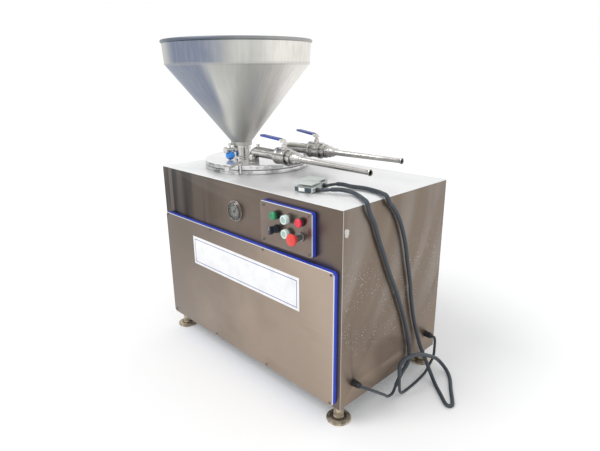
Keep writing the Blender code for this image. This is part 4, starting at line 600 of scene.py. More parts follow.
FINISHES = {
    "front_brushed": front_steel,
    "panel_brushed": lambda name, c: pan_steel(name, c.panel, c.panel_dark, c.film, PANEL_FACE + MIDDLE.y,
                                               0.549, 0.486 + MIDDLE.x, 3.0, 0.9),
    "plate_brushed": lambda name, c: pan_steel(name, c.plate, shaded(c.plate, 0.82), c.film,
                                               CONTROL_FACE + MIDDLE.y, 0.714, 0.394 + MIDDLE.x, 9.0),
    "walls_brushed": side_steel,
    "rear_brushed": tinted(steel, "side", 0.34, (5, 420, 420), 0.86),
    "top_polished": tinted(steel, "top", 0.34, (5, 520, 520), 0.94, 3.0, 0.02, 0.55),
    "lid_polished": tinted(lid_steel, "top", 0.26, LID_FOOT, LID_TOP - 0.002, 0.75),
    "barrel_polished": tinted(lid_steel, ("top", 0.85), 0.22, TOP, FLANGE_TOP),
    "hopper_spun": hopper_steel,
    "bright_polished": tinted(steel, "bright", 0.2, (240, 240, 240), 0.78, 22.0, 0.05),
    "horn_polished": tinted(low_steel, "bright", 0.16, (200, 200, 200), 0.0095, 0.42),
    "valve_cast": tinted(low_steel, ("bright", 0.86), 0.22, (420, 420, 420), 0.03),
    "pipe_polished": tinted(low_steel, "bright", 0.14, (240, 240, 240), PIPE_RADIUS),
    "nut_polished": tinted(low_steel, "bright", 0.16, (300, 300, 300), 0.0265),
    "gauge_ring": tinted(steel, (0.3, 0.27, 0.25), 0.26, (300, 300, 300), 0.75, 40.0, 0.02),
    "screw_steel": tinted(steel, (0.24, 0.22, 0.2), 0.3, (500, 500, 500), 0.7, 90.0, 0.02),
    "foot_dirty": foot_steel,
    "weld_bead": weld_steel,
    "sign_white": sign_enamel,
    "sign_blue": tinted(plastic, linear(52, 58, 150), 0.4, 0.08),
    "cable_jacket": cable_skin,
    "knob_blue": knob_plastic,
    "lever_vinyl": tinted(plastic, "vinyl", 0.34, 0.14, 0.2),
    "button_green": tinted(plastic, "green", 0.26, 0.08, 0.4),
    "button_green_deep": tinted(plastic, ("green", 0.8), 0.24, 0.1, 0.5),
    "button_red": tinted(plastic, "red", 0.26, 0.06, 0.4),
    "button_red_deep": tinted(plastic, ("red", 0.9), 0.24, 0.08, 0.5),
    "button_mushroom": tinted(plastic, "mushroom", 0.36, 0.07, 0.2),
    "button_white": tinted(plastic, "white", 0.24, 0.04, 0.5),
    "button_lens": tinted(plastic, "lens", 0.16, 0.08, 0.6),
    "selector_navy": tinted(plastic, "navy", 0.34, 0.15, 0.2),
    "bezel_dark": tinted(plastic, linear(40, 42, 46), 0.36, 0.15),
    "bore_dark": tinted(plastic, linear(26, 24, 23), 0.55, 0.15),
    "bezel_grey": tinted(steel, (0.34, 0.35, 0.35), 0.28, (400, 400, 400), 0.8, 60.0),
    "mark_white": tinted(plastic, (0.86, 0.86, 0.84), 0.4, 0.04),
    "mark_black": tinted(plastic, (0.02, 0.02, 0.02), 0.45, 0.2),
    "dial_face": dial_print,
    "gauge_pane": glass_pane,
    "switch_cast": tinted(plastic, "cast", 0.42, 0.08, 0.1, 160.0, 0.2),
    "switch_slate": tinted(plastic, "slate", 0.38, 0.18, 0.1, 160.0, 0.12),
    "gland_nylon": tinted(plastic, linear(34, 36, 40), 0.42, 0.2),
    "seal_rubber": tinted(plastic, linear(60, 58, 56), 0.6, 0.2),
    "machine_enamel": tinted(plastic, "machine", 0.38, 0.16, 0.3, 90.0, 0.25),
    "frame_enamel": tinted(plastic, "frame", 0.5, 0.22, 0.1, 70.0, 0.3),
    "ram_chrome": tinted(steel, (0.72, 0.72, 0.72), 0.16, (300, 300, 30), 0.82, 30.0),
}


def finish(name):
    """The finish of that name, made when it is first asked for."""
    found = bpy.data.materials.get(name)
    if found is None:
        found = FINISHES[name](name, bpy.context.scene.stuffer_colours).material
    return found


def at(x, y, z, turn=None):
    placed = Matrix.Translation(MIDDLE + Vector((x, y, z)))
    return placed @ turn if turn is not None else placed


def moved(x, y, z):
    return Matrix.Translation((x, y, z))


def spun(angle):
    return Matrix.Rotation(angle, 4, "Z")


def clear():
    """Object mode with nothing selected."""
    if bpy.context.object is not None and bpy.context.object.mode != "OBJECT":
        bpy.ops.object.mode_set(mode="OBJECT")
    bpy.ops.object.select_all(action="DESELECT")


def choose(*objects):
    clear()
    for one in objects:
        one.select_set(True)
    bpy.context.view_layer.objects.active = objects[0]


def chain(points):
    """A new object in edit mode, with one line of edges through the points."""
    clear()
    bpy.ops.mesh.primitive_plane_add(size=0.01, location=(0, 0, 0))
    made = bpy.context.object
    bpy.ops.object.mode_set(mode="EDIT")
    bpy.ops.mesh.merge(type="CENTER")
    bpy.ops.transform.translate(value=points[0])
    for a, b in zip(points, points[1:]):
        step = Vector(b) - Vector(a)
        bpy.ops.mesh.extrude_region_move(TRANSFORM_OT_translate={"value": step})
    bpy.ops.mesh.select_all(action="SELECT")
    return made


def settle(made, surface, matrix, soften=0.0, sharp=32.0, rounds=2):
    """Puts a new piece in place, rounds its hard edges and gives it its finish."""
    if made.mode == "EDIT":
        bpy.ops.mesh.select_all(action="SELECT")
        bpy.ops.mesh.remove_doubles(threshold=MERGE)
        bpy.ops.mesh.normals_make_consistent(inside=False)
        bpy.ops.object.mode_set(mode="OBJECT")
    choose(made)
    made.matrix_world = matrix
    bpy.ops.object.transform_apply(location=True, rotation=True, scale=True)
    if soften:
        bpy.ops.object.modifier_add(type="BEVEL")
        bevel = made.modifiers[-1]
        bevel.width = soften
        bevel.segments = rounds
        bevel.limit_method = "ANGLE"
        bevel.angle_limit = math.radians(sharp)
        bpy.ops.object.modifier_apply(modifier=bevel.name)
    bpy.ops.object.shade_smooth_by_angle(angle=math.radians(sharp))
    made.data.materials.clear()
    made.data.materials.append(finish(surface))
    return made


def lathe(profile, surface, matrix, sides=None, soften=0.0, sharp=32.0):
    """Turns a profile of (radius, height) round its upright axis."""
    made = chain([(radius, 0, height) for radius, height in profile])
    bpy.ops.mesh.spin(steps=sides or bpy.context.scene.stuffer_sizes.round_sides, angle=math.tau,
                      center=(0, 0, 0), axis=(0, 0, 1))
    return settle(made, surface, matrix, soften, sharp)


def slab(outline, depth, surface, matrix, soften=0.0):
    """Extrudes an outline of (x, y) upwards."""
    made = chain([(x, y, 0) for x, y in outline])
    bpy.ops.mesh.edge_face_add()
    bpy.ops.mesh.extrude_region_move(TRANSFORM_OT_translate={"value": (0, 0, depth)})
    return settle(made, surface, matrix, soften)


def block(low, high, surface, matrix, soften=0.0):
    outline = [(low[0], low[1]), (high[0], low[1]), (high[0], high[1]), (low[0], high[1])]
    return slab(outline, high[2] - low[2], surface, matrix @ moved(0, 0, low[2]), soften)


def strand(name, points, radius, sides, ends=True):
    """A round curve along a line of points."""
    clear()
    curve = bpy.data.curves.new(name, "CURVE")
    curve.dimensions = "3D"
    curve.bevel_depth = radius
    curve.bevel_resolution = sides // 2 - 2
    curve.use_fill_caps = ends
    line = curve.splines.new("POLY")
    line.points.add(len(points) - 1)
    for spot, point in zip(line.points, points):
        spot.co = (*point, 1)
    made = bpy.data.objects.new(name, curve)
    bpy.context.collection.objects.link(made)
    return made


def tube(points, radius, surface, matrix, sides=16, wall=0.0):
    """A round tube along a line of points. With a wall it is hollow."""
    choose(strand("tube", points, radius, sides, not wall))
    bpy.ops.object.convert(target="MESH")
    made = bpy.context.object
    if wall:
        bpy.ops.object.modifier_add(type="SOLIDIFY")
        made.modifiers[-1].thickness = wall
        made.modifiers[-1].offset = -1
        bpy.ops.object.modifier_apply(modifier=made.modifiers[-1].name)
    bpy.ops.object.mode_set(mode="EDIT")
    return settle(made, surface, matrix)


def ring(radius, thickness, height, surface, matrix, sides):
    """A round bead in a circle, such as a weld round a pipe."""
    profile = []
    for step in range(13):
        angle = math.tau * step / 12
        profile.append((radius + thickness * math.cos(angle), height + thickness * math.sin(angle)))
    return lathe(profile, surface, matrix, sides, 0.0, 60.0)


def joined(name, *parts):
    """Several shapes as one piece, each with its own finish."""
    choose(*parts)
    if len(parts) > 1:
        bpy.ops.object.join()
    parts[0].name = name
    parts[0].data.name = name
    return parts[0]


def carved(made, tools):
    """Cuts the tools out of a piece and removes them."""
    for tool in tools:
        choose(made)
        bpy.ops.object.modifier_add(type="BOOLEAN")
        cutter = made.modifiers[-1]
        cutter.operation = "DIFFERENCE"
        cutter.solver = "EXACT"
        cutter.object = tool
        bpy.ops.object.modifier_apply(modifier=cutter.name)
        bpy.data.objects.remove(tool)
    choose(made)
    bpy.ops.object.shade_smooth_by_angle(angle=math.radians(30))
    keep = made.data.materials[0]
    made.data.materials.clear()
    made.data.materials.append(keep)
    return made


def copied(source, name, matrix):
    """A copy with its own mesh, moved by matrix."""
    made = source.copy()
    made.data = source.data.copy()
    made.name = name
    bpy.context.collection.objects.link(made)
    choose(made)
    made.matrix_world = matrix
    bpy.ops.object.transform_apply(location=True, rotation=True, scale=True)
    return made


def refined(node, name, surface, width, sharp=40.0, rounds=2):
    """A copy of a solid with its hard edges rounded, in that solid's place."""
    source = NODES[node]
    made = source.copy()
    made.data = source.data.copy()
    for key in [k for k in made.keys() if k.startswith("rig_")]:
        del made[key]
    made.parent = None
    made.name = name
    bpy.context.collection.objects.link(made)
    choose(made)
    bpy.ops.mesh.customdata_custom_splitnormals_clear()
    bpy.ops.object.mode_set(mode="EDIT")
    bpy.ops.mesh.select_all(action="SELECT")
    bpy.ops.mesh.remove_doubles(threshold=MERGE)
    bpy.ops.mesh.dissolve_limited(angle_limit=math.radians(0.5))
    bpy.ops.object.mode_set(mode="OBJECT")
    return settle(made, surface, UNMOVED, width, sharp, rounds)


def mount(made, body, slot, *nodes):
    """The piece rides on a body and stands for the nodes, which it hides. The slot is not used."""
    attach(made, body)
    if nodes:
        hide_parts(*nodes)
    return made


def dress(node, surface):
    """A solid that stays as it is gets its finish."""
    if node not in NODES:
        raise RuntimeError(f"the frame has no piece named {node}")
    kept = NODES[node]
    kept.data.materials.clear()
    kept.data.materials.append(finish(surface))
    choose(kept)
    bpy.ops.object.shade_smooth_by_angle(angle=math.radians(32))


def smooth_line(route, step):
    """Points along a smooth curve through the route, with its first and last stretch straight."""
    knots = [Vector(point) for point in route]
    knots = [knots[0] * 2 - knots[1]] + knots + [knots[-1] * 2 - knots[-2]]
    fine = []
    for a, b, c, d in zip(knots, knots[1:], knots[2:], knots[3:]):
        for i in range(24):
            t = i / 24
            fine.append(0.5 * (2 * b + (c - a) * t + (2 * a - 5 * b + 4 * c - d) * t ** 2
                               + (3 * b - a - 3 * c + d) * t ** 3))
    points = [fine[0]]
    for point in fine:
        if (point - points[-1]).length > step:
            points.append(point)
    if (knots[-2] - points[-1]).length < step / 2:
        points.pop()
    points.append(knots[-2])
    return points


def drawn_in(route, first, last):
    points = [Vector(point) for point in route]
    points[0] += (points[1] - points[0]).normalized() * first
    points[-1] += (points[-2] - points[-1]).normalized() * last
    return points


class STUFFER_OT_stage(bpy.types.Operator):
    """Camera, pale floor, soft lamp and white surroundings"""
    bl_idname = "stuffer.stage"
    bl_label = "Stage"

    def execute(self, context):
        scene = context.scene
        azimuth, elevation, roll = (math.radians(angle) for angle in CAMERA_ANGLES)
        back = Vector((math.sin(azimuth) * math.cos(elevation), -math.cos(azimuth) * math.cos(elevation),
                       math.sin(elevation)))
        right = Vector((math.cos(azimuth), math.sin(azimuth), 0))
        up = back.cross(right)
        across = right * math.cos(roll) + up * math.sin(roll)
        above = up * math.cos(roll) - right * math.sin(roll)
        lens = bpy.data.cameras.new("camera")
        lens.sensor_width = 36.0
        lens.lens = 29.42
        lens.clip_start = 0.05
        lens.clip_end = 300.0
        camera = bpy.data.objects.new("camera", lens)
        scene.collection.objects.link(camera)
        pose = Matrix((across, above, back)).transposed().to_4x4()
        pose.translation = CAMERA_SPOT
        camera.matrix_world = pose
        scene.camera = camera
        clear()
        half = scene.stuffer_sizes.floor
        bpy.ops.mesh.primitive_grid_add(x_subdivisions=8, y_subdivisions=8, size=2 * half,
                                        location=(0, 0, 0))
        floor = context.object
        floor.name = "floor"
        concrete = Recipe("floor_pale", roughness=0.9)
        pores = concrete.noise(3.0, 4.0, 0.6)
        concrete.set("Base Color", concrete.blend(pores, shaded(scene.stuffer_colours.floor, 0.985),
                                                  scene.stuffer_colours.floor))
        concrete.shader.inputs["Specular IOR Level"].default_value = 0.1
        concrete.shader.inputs["Emission Color"].default_value = (1, 1, 1, 1)
        concrete.shader.inputs["Emission Strength"].default_value = 0.12
        floor.data.materials.append(concrete.material)
        lamp = bpy.data.lights.new("window", "SUN")
        lamp.energy = 1.15
        lamp.angle = math.radians(28)
        sun = bpy.data.objects.new("window", lamp)
        scene.collection.objects.link(sun)
        sun.rotation_euler = Vector((0.3, 0.62, -0.85)).to_track_quat("-Z", "Y").to_euler()
        world = bpy.data.worlds.new("room")
        world.use_nodes = True
        tree = world.node_tree
        tree.nodes.clear()
        out = tree.nodes.new("ShaderNodeOutputWorld")
        soft = tree.nodes.new("ShaderNodeBackground")
        soft.inputs["Color"].default_value = (0.98, 0.99, 1.0, 1)
        soft.inputs["Strength"].default_value = 0.78
        white = tree.nodes.new("ShaderNodeBackground")
        white.inputs["Color"].default_value = (1, 1, 1, 1)
        rays = tree.nodes.new("ShaderNodeLightPath")
        seen = tree.nodes.new("ShaderNodeMath")
        seen.operation = "MAXIMUM"
        through = tree.nodes.new("ShaderNodeMath")
        through.operation = "MAXIMUM"
        choice = tree.nodes.new("ShaderNodeMixShader")
        for source, target in ((rays.outputs["Is Camera Ray"], seen.inputs[0]),
                               (rays.outputs["Is Glossy Ray"], seen.inputs[1]),
                               (seen.outputs[0], through.inputs[0]),
                               (rays.outputs["Is Transmission Ray"], through.inputs[1]),
                               (through.outputs[0], choice.inputs[0]), (soft.outputs[0], choice.inputs[1]),
                               (white.outputs[0], choice.inputs[2]),
                               (choice.outputs[0], out.inputs["Surface"])):
            tree.links.new(source, target)
        scene.world = world
        scene.view_settings.view_transform = "Standard"
        return {"FINISHED"}


class STUFFER_OT_cables(bpy.types.Operator):
    """Two cables with their sleeves, from the foot switches down to the glands"""
    bl_idname = "stuffer.cables"
    bl_label = "Cables"

    def execute(self, context):
        sizes = context.scene.stuffer_sizes
        for side, route in ROUTES.items():
            first, last = SLEEVED[side]
            sleeve = route[first:last + 1]
            runs = [drawn_in(route[:first + 1], 0, sizes.sleeve / 8), sleeve,
                    drawn_in(route[last:], sizes.sleeve / 8, 0)]
            points = []
            for run in runs:
                line = smooth_line(run, CABLE_STEP)
                points += line[1:] if points and (line[0] - points[-1]).length < 0.001 else line
            points = [point + MIDDLE for point in points][::-1]
            cable = strand("cable_line_" + side, points, sizes.cable / 2, 16)
            cable.data.materials.append(finish("cable_jacket"))
            mount(cable, "cabinet", "black_rubber", "cable_" + side)
            covered = smooth_line(sleeve, CABLE_STEP)
            cover = tube(covered, sizes.sleeve / 2, "cable_jacket", at(0, 0, 0), 20)
            collars = []
            for end, inner in ((covered[0], covered[1]), (covered[-1], covered[-2])):
                run = (inner - end).normalized()
                lip = [end - run * 0.003, end + run * 0.0005]
                collars.append(tube(lip, sizes.sleeve / 2 * 0.86, "cable_jacket", at(0, 0, 0), 20))
            cover = joined("cable_sleeve_" + side, cover, *collars)
            mount(cover, "cabinet", "black_rubber")
            length = sum((b - a).length for a, b in zip(points, points[1:]))
            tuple(points[0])
        return {"FINISHED"}


class STUFFER_OT_cabinet(bpy.types.Operator):
    """Walls, front sheet, top plate and louvred rear cover"""
    bl_idname = "stuffer.cabinet"
    bl_label = "Cabinet"

    def execute(self, context):
        edge = context.scene.stuffer_sizes.edge
        sheets = (("cabinet_shell", "cabinet_walls", "walls_brushed", edge * 0.5, "cabinet_steel"),
                  ("front_sheet", "front_wall", "front_brushed", edge * 0.5, "cabinet_steel"),
                  ("top_plate", "top_sheet", "top_polished", edge, "bright_steel"),
                  ("rear_cover", "rear_hatch", "rear_brushed", edge * 0.4, "cabinet_steel"))
        for node, name, surface, width, slot in sheets:
            mount(refined(node, name, surface, width), "cabinet", slot, node)
        return {"FINISHED"}


class STUFFER_OT_panels(bpy.types.Operator):
    """Lower panel and control plate, with film left on their bent edges"""
    bl_idname = "stuffer.panels"
    bl_label = "Panels"

    def execute(self, context):
        edge = context.scene.stuffer_sizes.edge
        for node, name, surface in (("lower_panel", "lower_pan", "panel_brushed"),
                                    ("control_plate", "control_pan", "plate_brushed")):
            mount(refined(node, name, surface, edge, 40.0, 3), "cabinet", "cabinet_steel", node)
        return {"FINISHED"}


class STUFFER_OT_screws(bpy.types.Operator):
    """Socket screws of the panels and the rear cover"""
    bl_idname = "stuffer.screws"
    bl_label = "Screws"

    def execute(self, context):
        radius = context.scene.stuffer_sizes.screw
        height = radius * 0.55
        head = lathe([(0, height), (radius * 0.45, height), (radius * 0.8, height * 0.75),
                      (radius, height * 0.15), (radius, 0), (0, 0)], "screw_steel", UNMOVED, 24)
        socket = lathe([(0, height * 2), (radius * 0.42, height * 2), (radius * 0.42, height * 0.35),
                        (0, height * 0.35)], "screw_steel", UNMOVED, 6)
        head = carved(head, [socket])
        spots = [(-0.464 + i * 0.3125, PANEL_FACE, z, OUT_OF_FRONT)
                 for i in range(4) for z in (0.541, 0.093)]
        spots += [(x, CONTROL_FACE, z, OUT_OF_FRONT) for x, z in ((0.169, 0.7), (0.38, 0.704),
                                                                  (0.166, 0.58), (0.381, 0.579))]
        cover_low, cover_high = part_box("rear_cover")
        behind = cover_high.y - MIDDLE.y
        for i in range(4):
            for z in (cover_low.z + 0.012, cover_high.z - 0.012):
                spots.append((-0.372 + i * 0.248, behind, z, OUT_OF_BACK))
        heads = []
        for i, (x, y, z, turn) in enumerate(spots):
            heads.append(copied(head, f"screw_{i}", at(x, y, z, turn)))
        bpy.data.objects.remove(head)
        mount(joined("panel_screws", *heads), "cabinet", "bright_steel")
        return {"FINISHED"}


class STUFFER_OT_sign(bpy.types.Operator):
    """Bare sign plate with a thin border line"""
    bl_idname = "stuffer.sign"
    bl_label = "Sign plate"

    def execute(self, context):
        thick = context.scene.stuffer_sizes.sign
        low = Vector((-0.273, 0.371))
        high = Vector((0.338, 0.489))
        facing = at(0, PANEL_FACE, 0, OUT_OF_FRONT)
        board = block((low.x, low.y, 0), (high.x, high.y, thick), "sign_white", facing, 0.0004)
        inset, width = 0.0105, 0.0022
        a, b = low + Vector((inset, inset)), high - Vector((inset, inset))
        strips = [((a.x, a.y), (b.x, a.y + width)), ((a.x, b.y - width), (b.x, b.y)),
                  ((a.x, a.y + width), (a.x + width, b.y - width)),
                  ((b.x - width, a.y + width), (b.x, b.y - width))]
        lines = [block((*p, thick - 0.0001), (*q, thick + 0.00012), "sign_blue", facing) for p, q in strips]
        mount(joined("sign_plate", board, *lines), "cabinet", "cabinet_steel")
        return {"FINISHED"}


class STUFFER_OT_feet(bpy.types.Operator):
    """Four levelling feet: a wide disc and an upright stem"""
    bl_idname = "stuffer.feet"
    bl_label = "Feet"

    def execute(self, context):
        profile = [(0, 0.0677), (0.0166, 0.0677), (0.017, 0.067), (0.017, 0.015), (0.019, 0.0122),
                   (0.03, 0.0096), (0.0385, 0.008), (0.0412, 0.007), (0.042, 0.0052), (0.042, 0.0012),
                   (0.0412, 0), (0.036, 0), (0.034, 0.0015), (0, 0.0015)]
        foot = lathe(profile, "foot_dirty", UNMOVED, 64, 0.0, 28.0)
        for along, side_y in (("front", -1), ("rear", 1)):
            for across, side_x in (("left", -1), ("right", 1)):
                turn = spun(0.4 + side_x * 0.5 + side_y * 0.9)
                name = f"{along}_{across}"
                spot = at(side_x * FOOT_SPOT[0], side_y * FOOT_SPOT[1], 0, turn)
                piece = copied(foot, "levelling_foot_" + name, spot)
                mount(piece, "cabinet", "bright_steel", "foot_" + name)
        bpy.data.objects.remove(foot)
        return {"FINISHED"}


class STUFFER_OT_gauge(bpy.types.Operator):
    """Pressure gauge: case with flange and bezel, printed dial, needle and pane"""
    bl_idname = "stuffer.gauge"
    bl_label = "Gauge"

    def execute(self, context):
        facing = at(GAUGE[0], FRONT - GAP, GAUGE[1], OUT_OF_FRONT)
        case = lathe(mm((0, 3), (30.4, 3), (30.6, 9.4), (31.1, 10.1), (32, 10.1), (32.9, 9.2), (33.1, 7.8),
                        (33.1, 3.2), (34, 2.2), (39.2, 1.7), (40, 1), (40, 0), (30, 0), (30, -33.5),
                        (29, -34), (0, -34)), "gauge_ring", facing, 96)
        screws = []
        for i in range(3):
            angle = math.radians(90 + 120 * i)
            spot = facing @ moved(0.0366 * math.cos(angle), 0.0366 * math.sin(angle), 0.0014)
            screws.append(lathe(mm((0, 1.4), (1.2, 1.4), (2, 0.8), (2.2, 0), (0, 0)),
                                "screw_steel", spot, 16))
        mount(joined("gauge_housing", case, *screws), "cabinet", "bright_steel", "gauge_case")
        face = lathe(mm((0, 3.15), (30, 3.15), (30, 2.9), (0, 2.9)), "dial_face", facing, 96)
        marks = []
        for i in range(51):
            angle = math.radians(-45 + 270 * i / 50)
            long = i % 10 == 0
            turn = facing @ spun(angle)
            marks.append(block((0.0242 if long else 0.0258, -0.00035 if long else -0.0002, 0.0031),
                               (0.028, 0.00035 if long else 0.0002, 0.00325), "mark_white", turn))
        for i in range(6):
            angle = math.radians(225 - 54 * i)
            clear()
            bpy.ops.object.text_add(location=(0, 0, 0))
            number = context.object
            number.data.body = str(i * 5)
            number.data.size = 0.0046
            number.data.align_x = "CENTER"
            number.data.align_y = "CENTER"
            number.data.extrude = 0.00005
            bpy.ops.object.convert(target="MESH")
            spot = moved(0.0168 * math.cos(angle), 0.0168 * math.sin(angle), 0.0032)
            marks.append(settle(context.object, "mark_black", facing @ spot))
        mount(joined("gauge_dial", face, *marks), "cabinet", "bright_steel")
        pane = lathe(mm((0, 9.2), (20, 9), (30.2, 8.4), (30.2, 7.6), (0, 8)), "gauge_pane", facing, 64)
        pane.name = "gauge_window"
        mount(pane, "cabinet", "gauge_glass", "gauge_glass")
        dress("gauge_needle", "mark_black")
        return {"FINISHED"}


class STUFFER_OT_buttons(bpy.types.Operator):
    """Four push buttons and the mushroom button, and the bezels and contact blocks of all six controls"""
    bl_idname = "stuffer.buttons"
    bl_label = "Buttons"

    def execute(self, context):
        # The dark finish on the green and red buttons' bezels is painted shade: it stands where the bezel
        # lies in shadow beside the cap.
        kinds = {"green": (0, 0, "bezel_dark"), "selector": (0, 1, "bezel_dark"),
                 "white_upper": (1, 0, "bezel_grey"), "white_lower": (1, 1, "bezel_grey"),
                 "red": (2, 0, "bezel_dark"), "mushroom": (2, 1, "bezel_grey")}
        for name, (column, row, surface) in kinds.items():
            facing = self.spot(column, row)
            bezel = lathe(mm((0, -10), (10, -10), (10, 6), (12.2, 6), (13.2, 5.5), (13.8, 4.5), (13.8, 1),
                             (13.6, 0), (10.8, 0), (10.8, -11.5), (0, -11.5)), surface, facing)
            contacts = block((-0.015, -0.015, -0.0565), (0.015, 0.015, -0.011), "bezel_dark", facing, 0.0012)
            screws = [block((x - 0.003, y - 0.003, -0.011), (x + 0.003, y + 0.003, -0.0104),
                            "screw_steel", facing)
                      for x in (-0.0105, 0.0105) for y in (-0.0105, 0.0105)]
            piece = joined("contact_" + name, bezel, contacts, *screws)
            mount(piece, "cabinet", "dark_plastic", "button_body_" + name)
        caps = (
            ("green_button", 0, 0, 0.0135, 0.02, "button_green", "button_green_deep", "green_cap",
             "green_cap"),
            ("red_button", 2, 0, 0.0135, 0.018, "button_red", "button_red_deep", "red_cap", "red_cap"),
            ("white_button_upper", 1, 0, 0.015, 0.025, "button_white", "button_lens", "white_cap_upper",
             "pale_cap"),
            ("white_button_lower", 1, 1, 0.015, 0.023, "button_white", "button_lens", "white_cap_lower",
             "pale_cap"),
        )
        for node, column, row, radius, reach, outer, inner, body, slot in caps:
            facing = self.spot(column, row)
            cap = lathe([(radius - 0.0052, reach - 0.0012), (radius - 0.0046, reach - 0.0002),
                         (radius - 0.0038, reach), (radius - 0.0016, reach - 0.0003),
                         (radius - 0.0004, reach - 0.0014), (radius, reach - 0.003), (radius, 0.0102),
                         (0.0089, 0.01), (0.0089, 0.0002), (0.0, 0.0002)], outer, facing)
            lens = lathe([(0, reach - 0.0016), (radius - 0.0052, reach - 0.0012),
                          (radius - 0.005, reach - 0.003), (0, reach - 0.003)], inner, facing)
            mount(joined(node.replace("button", "cap"), cap, lens), body, slot, node)
        facing = self.spot(2, 1)
        head = lathe(mm((0, 48.8), (10, 49), (16.5, 48.5), (18.8, 47.4), (19.9, 45), (19.9, 41.5),
                        (18.8, 39.5), (16, 36), (12.5, 29), (0, 28.5)), "button_mushroom", facing, 64)
        stem = lathe(mm((0, 30), (11.8, 30), (11.8, 23.5), (10.5, 22.5), (10.5, 12), (8.9, 11.8),
                        (8.9, 0.2), (0, 0.2)), "bezel_grey", facing, 64)
        disc = lathe(mm((0, 49.1), (11.8, 49.1), (12.4, 48.9), (12.4, 48), (0, 48)),
                     "button_mushroom", facing, 64)
        mount(joined("mushroom_head", head, stem, disc), "mushroom", "red_cap", "mushroom_button")
        return {"FINISHED"}

    def spot(self, column, row):
        return at(BUTTON_X[column], CONTROL_FACE - GAP, BUTTON_Z[row], OUT_OF_FRONT)


class STUFFER_OT_selector(bpy.types.Operator):
    """Selector knob with its grip bar and pointer line"""
    bl_idname = "stuffer.selector"
    bl_label = "Selector"

    def execute(self, context):
        facing = at(BUTTON_X[0], CONTROL_FACE - GAP, BUTTON_Z[1], OUT_OF_FRONT)
        base = lathe(mm((0, 17.8), (9.8, 18), (10.6, 17.4), (12.4, 7), (8.9, 6.8), (8.9, 0.2), (0, 0.2)),
                     "selector_navy", facing)
        outline = []
        for start, centre in ((0, 0.0085), (180, -0.0085)):
            for i in range(9):
                angle = math.radians(start + 180 * i / 8)
                outline.append((0.0052 * math.cos(angle), centre + 0.0052 * math.sin(angle)))
        grip = slab(outline, 0.015, "selector_navy", facing @ moved(0, 0, 0.0168), 0.0008)
        pointer = block((-0.0006, 0.002, 0.0316), (0.0006, 0.0125, 0.032), "mark_white", facing)
        mount(joined("selector_handle", base, grip, pointer), "selector", "navy_knob", "selector_knob")
        return {"FINISHED"}


class STUFFER_OT_glands(bpy.types.Operator):
    """Cable glands: hexagon, ribbed dome nut and lock nut"""
    bl_idname = "stuffer.glands"
    bl_label = "Cable glands"

    def execute(self, context):
        for side, (y, z) in GLANDS.items():
            facing = at(0.5, y, z, ALONG_X)
            hexagon = lathe(mm((0, 9.5), (11.6, 9.5), (12.5, 8.5), (12.5, 0.4), (8.5, 0.4), (8.5, -1.8),
                               (12.5, -1.8), (12.5, -6.6), (8.5, -6.8), (8.5, -9.8), (0, -9.8)),
                            "gland_nylon", facing, 6)
            dome = lathe(mm((0, 30), (6.2, 30), (7.8, 29.4), (9.2, 27), (10, 23.5), (10.4, 17),
                            (10.6, 10.5), (10.6, 9.2), (0, 9.2)), "gland_nylon", facing, 48)
            ribs = [block((0.0094, -0.0007, 0.01), (0.011, 0.0007, 0.0205), "gland_nylon",
                          facing @ spun(math.tau * i / 12), 0.0002) for i in range(12)]
            gland = joined("gland_" + side, hexagon, dome, *ribs)
            mount(gland, "cabinet", "dark_plastic", "cable_gland_" + side)
        return {"FINISHED"}


def notch_tools(low, high):
    """Cutters for the two notches round the clamp bolts, open to the rim."""
    for side in (-1, 1):
        turn = at(BARREL_X, 0, 0, spun(side * CLAMP_ANGLE))
        yield block((0.1997, -0.0073, low), (0.23, 0.0073, high), "screw_steel", turn)


class STUFFER_OT_barrel(bpy.types.Operator):
    """Meat barrel with its flange, the pinned clamp bolts and the floor the ram comes through"""
    bl_idname = "stuffer.barrel"
    bl_label = "Meat barrel"

    def execute(self, context):
        wide = context.scene.stuffer_sizes.wide_sides
        low = 0.433
        barrel = lathe([(0.18, FLANGE_TOP), (0.2105, FLANGE_TOP), (0.2124, FLANGE_TOP - 0.0008),
                        (LID_RADIUS, FLANGE_TOP - 0.0022), (LID_RADIUS, 0.744), (0.2122, 0.7423),
                        (0.187, 0.7423), (0.187, low), (0.0305, low), (0.0305, 0.445), (0.18, 0.445),
                        (0.18, FLANGE_TOP)],
                       "barrel_polished", at(BARREL_X, 0, 0), wide)
        barrel = carved(barrel, list(notch_tools(0.741, 0.76)))
        parts = []
        middle = (TOP + FLANGE_TOP) / 2
        for side in (-1, 1):
            turn = at(BARREL_X, 0, 0, spun(side * CLAMP_ANGLE))
            pin = [(CLAMP_CIRCLE, -0.0103, middle), (CLAMP_CIRCLE, 0.0103, middle)]
            parts.append(tube(pin, 0.003, "bright_polished", turn, 16))
            eye = turn @ moved(CLAMP_CIRCLE, 0, 0)
            threads = [(0, middle - 0.0055), (0.0056, middle - 0.0055)]
            height = middle + 0.006
            while height < LID_TOP + 0.021:
                threads += [(0.0056, height), (0.006, height + 0.0005), (0.006, height + 0.0008),
                            (0.0056, height + 0.0013)]
                height += 0.0018
            threads += [(0, height)]
            parts.append(lathe(threads, "bright_polished", eye, 24, 0.0, 50.0))
        mount(joined("barrel_and_flange", barrel, *parts), "cabinet", "bright_steel", "meat_barrel")
        return {"FINISHED"}


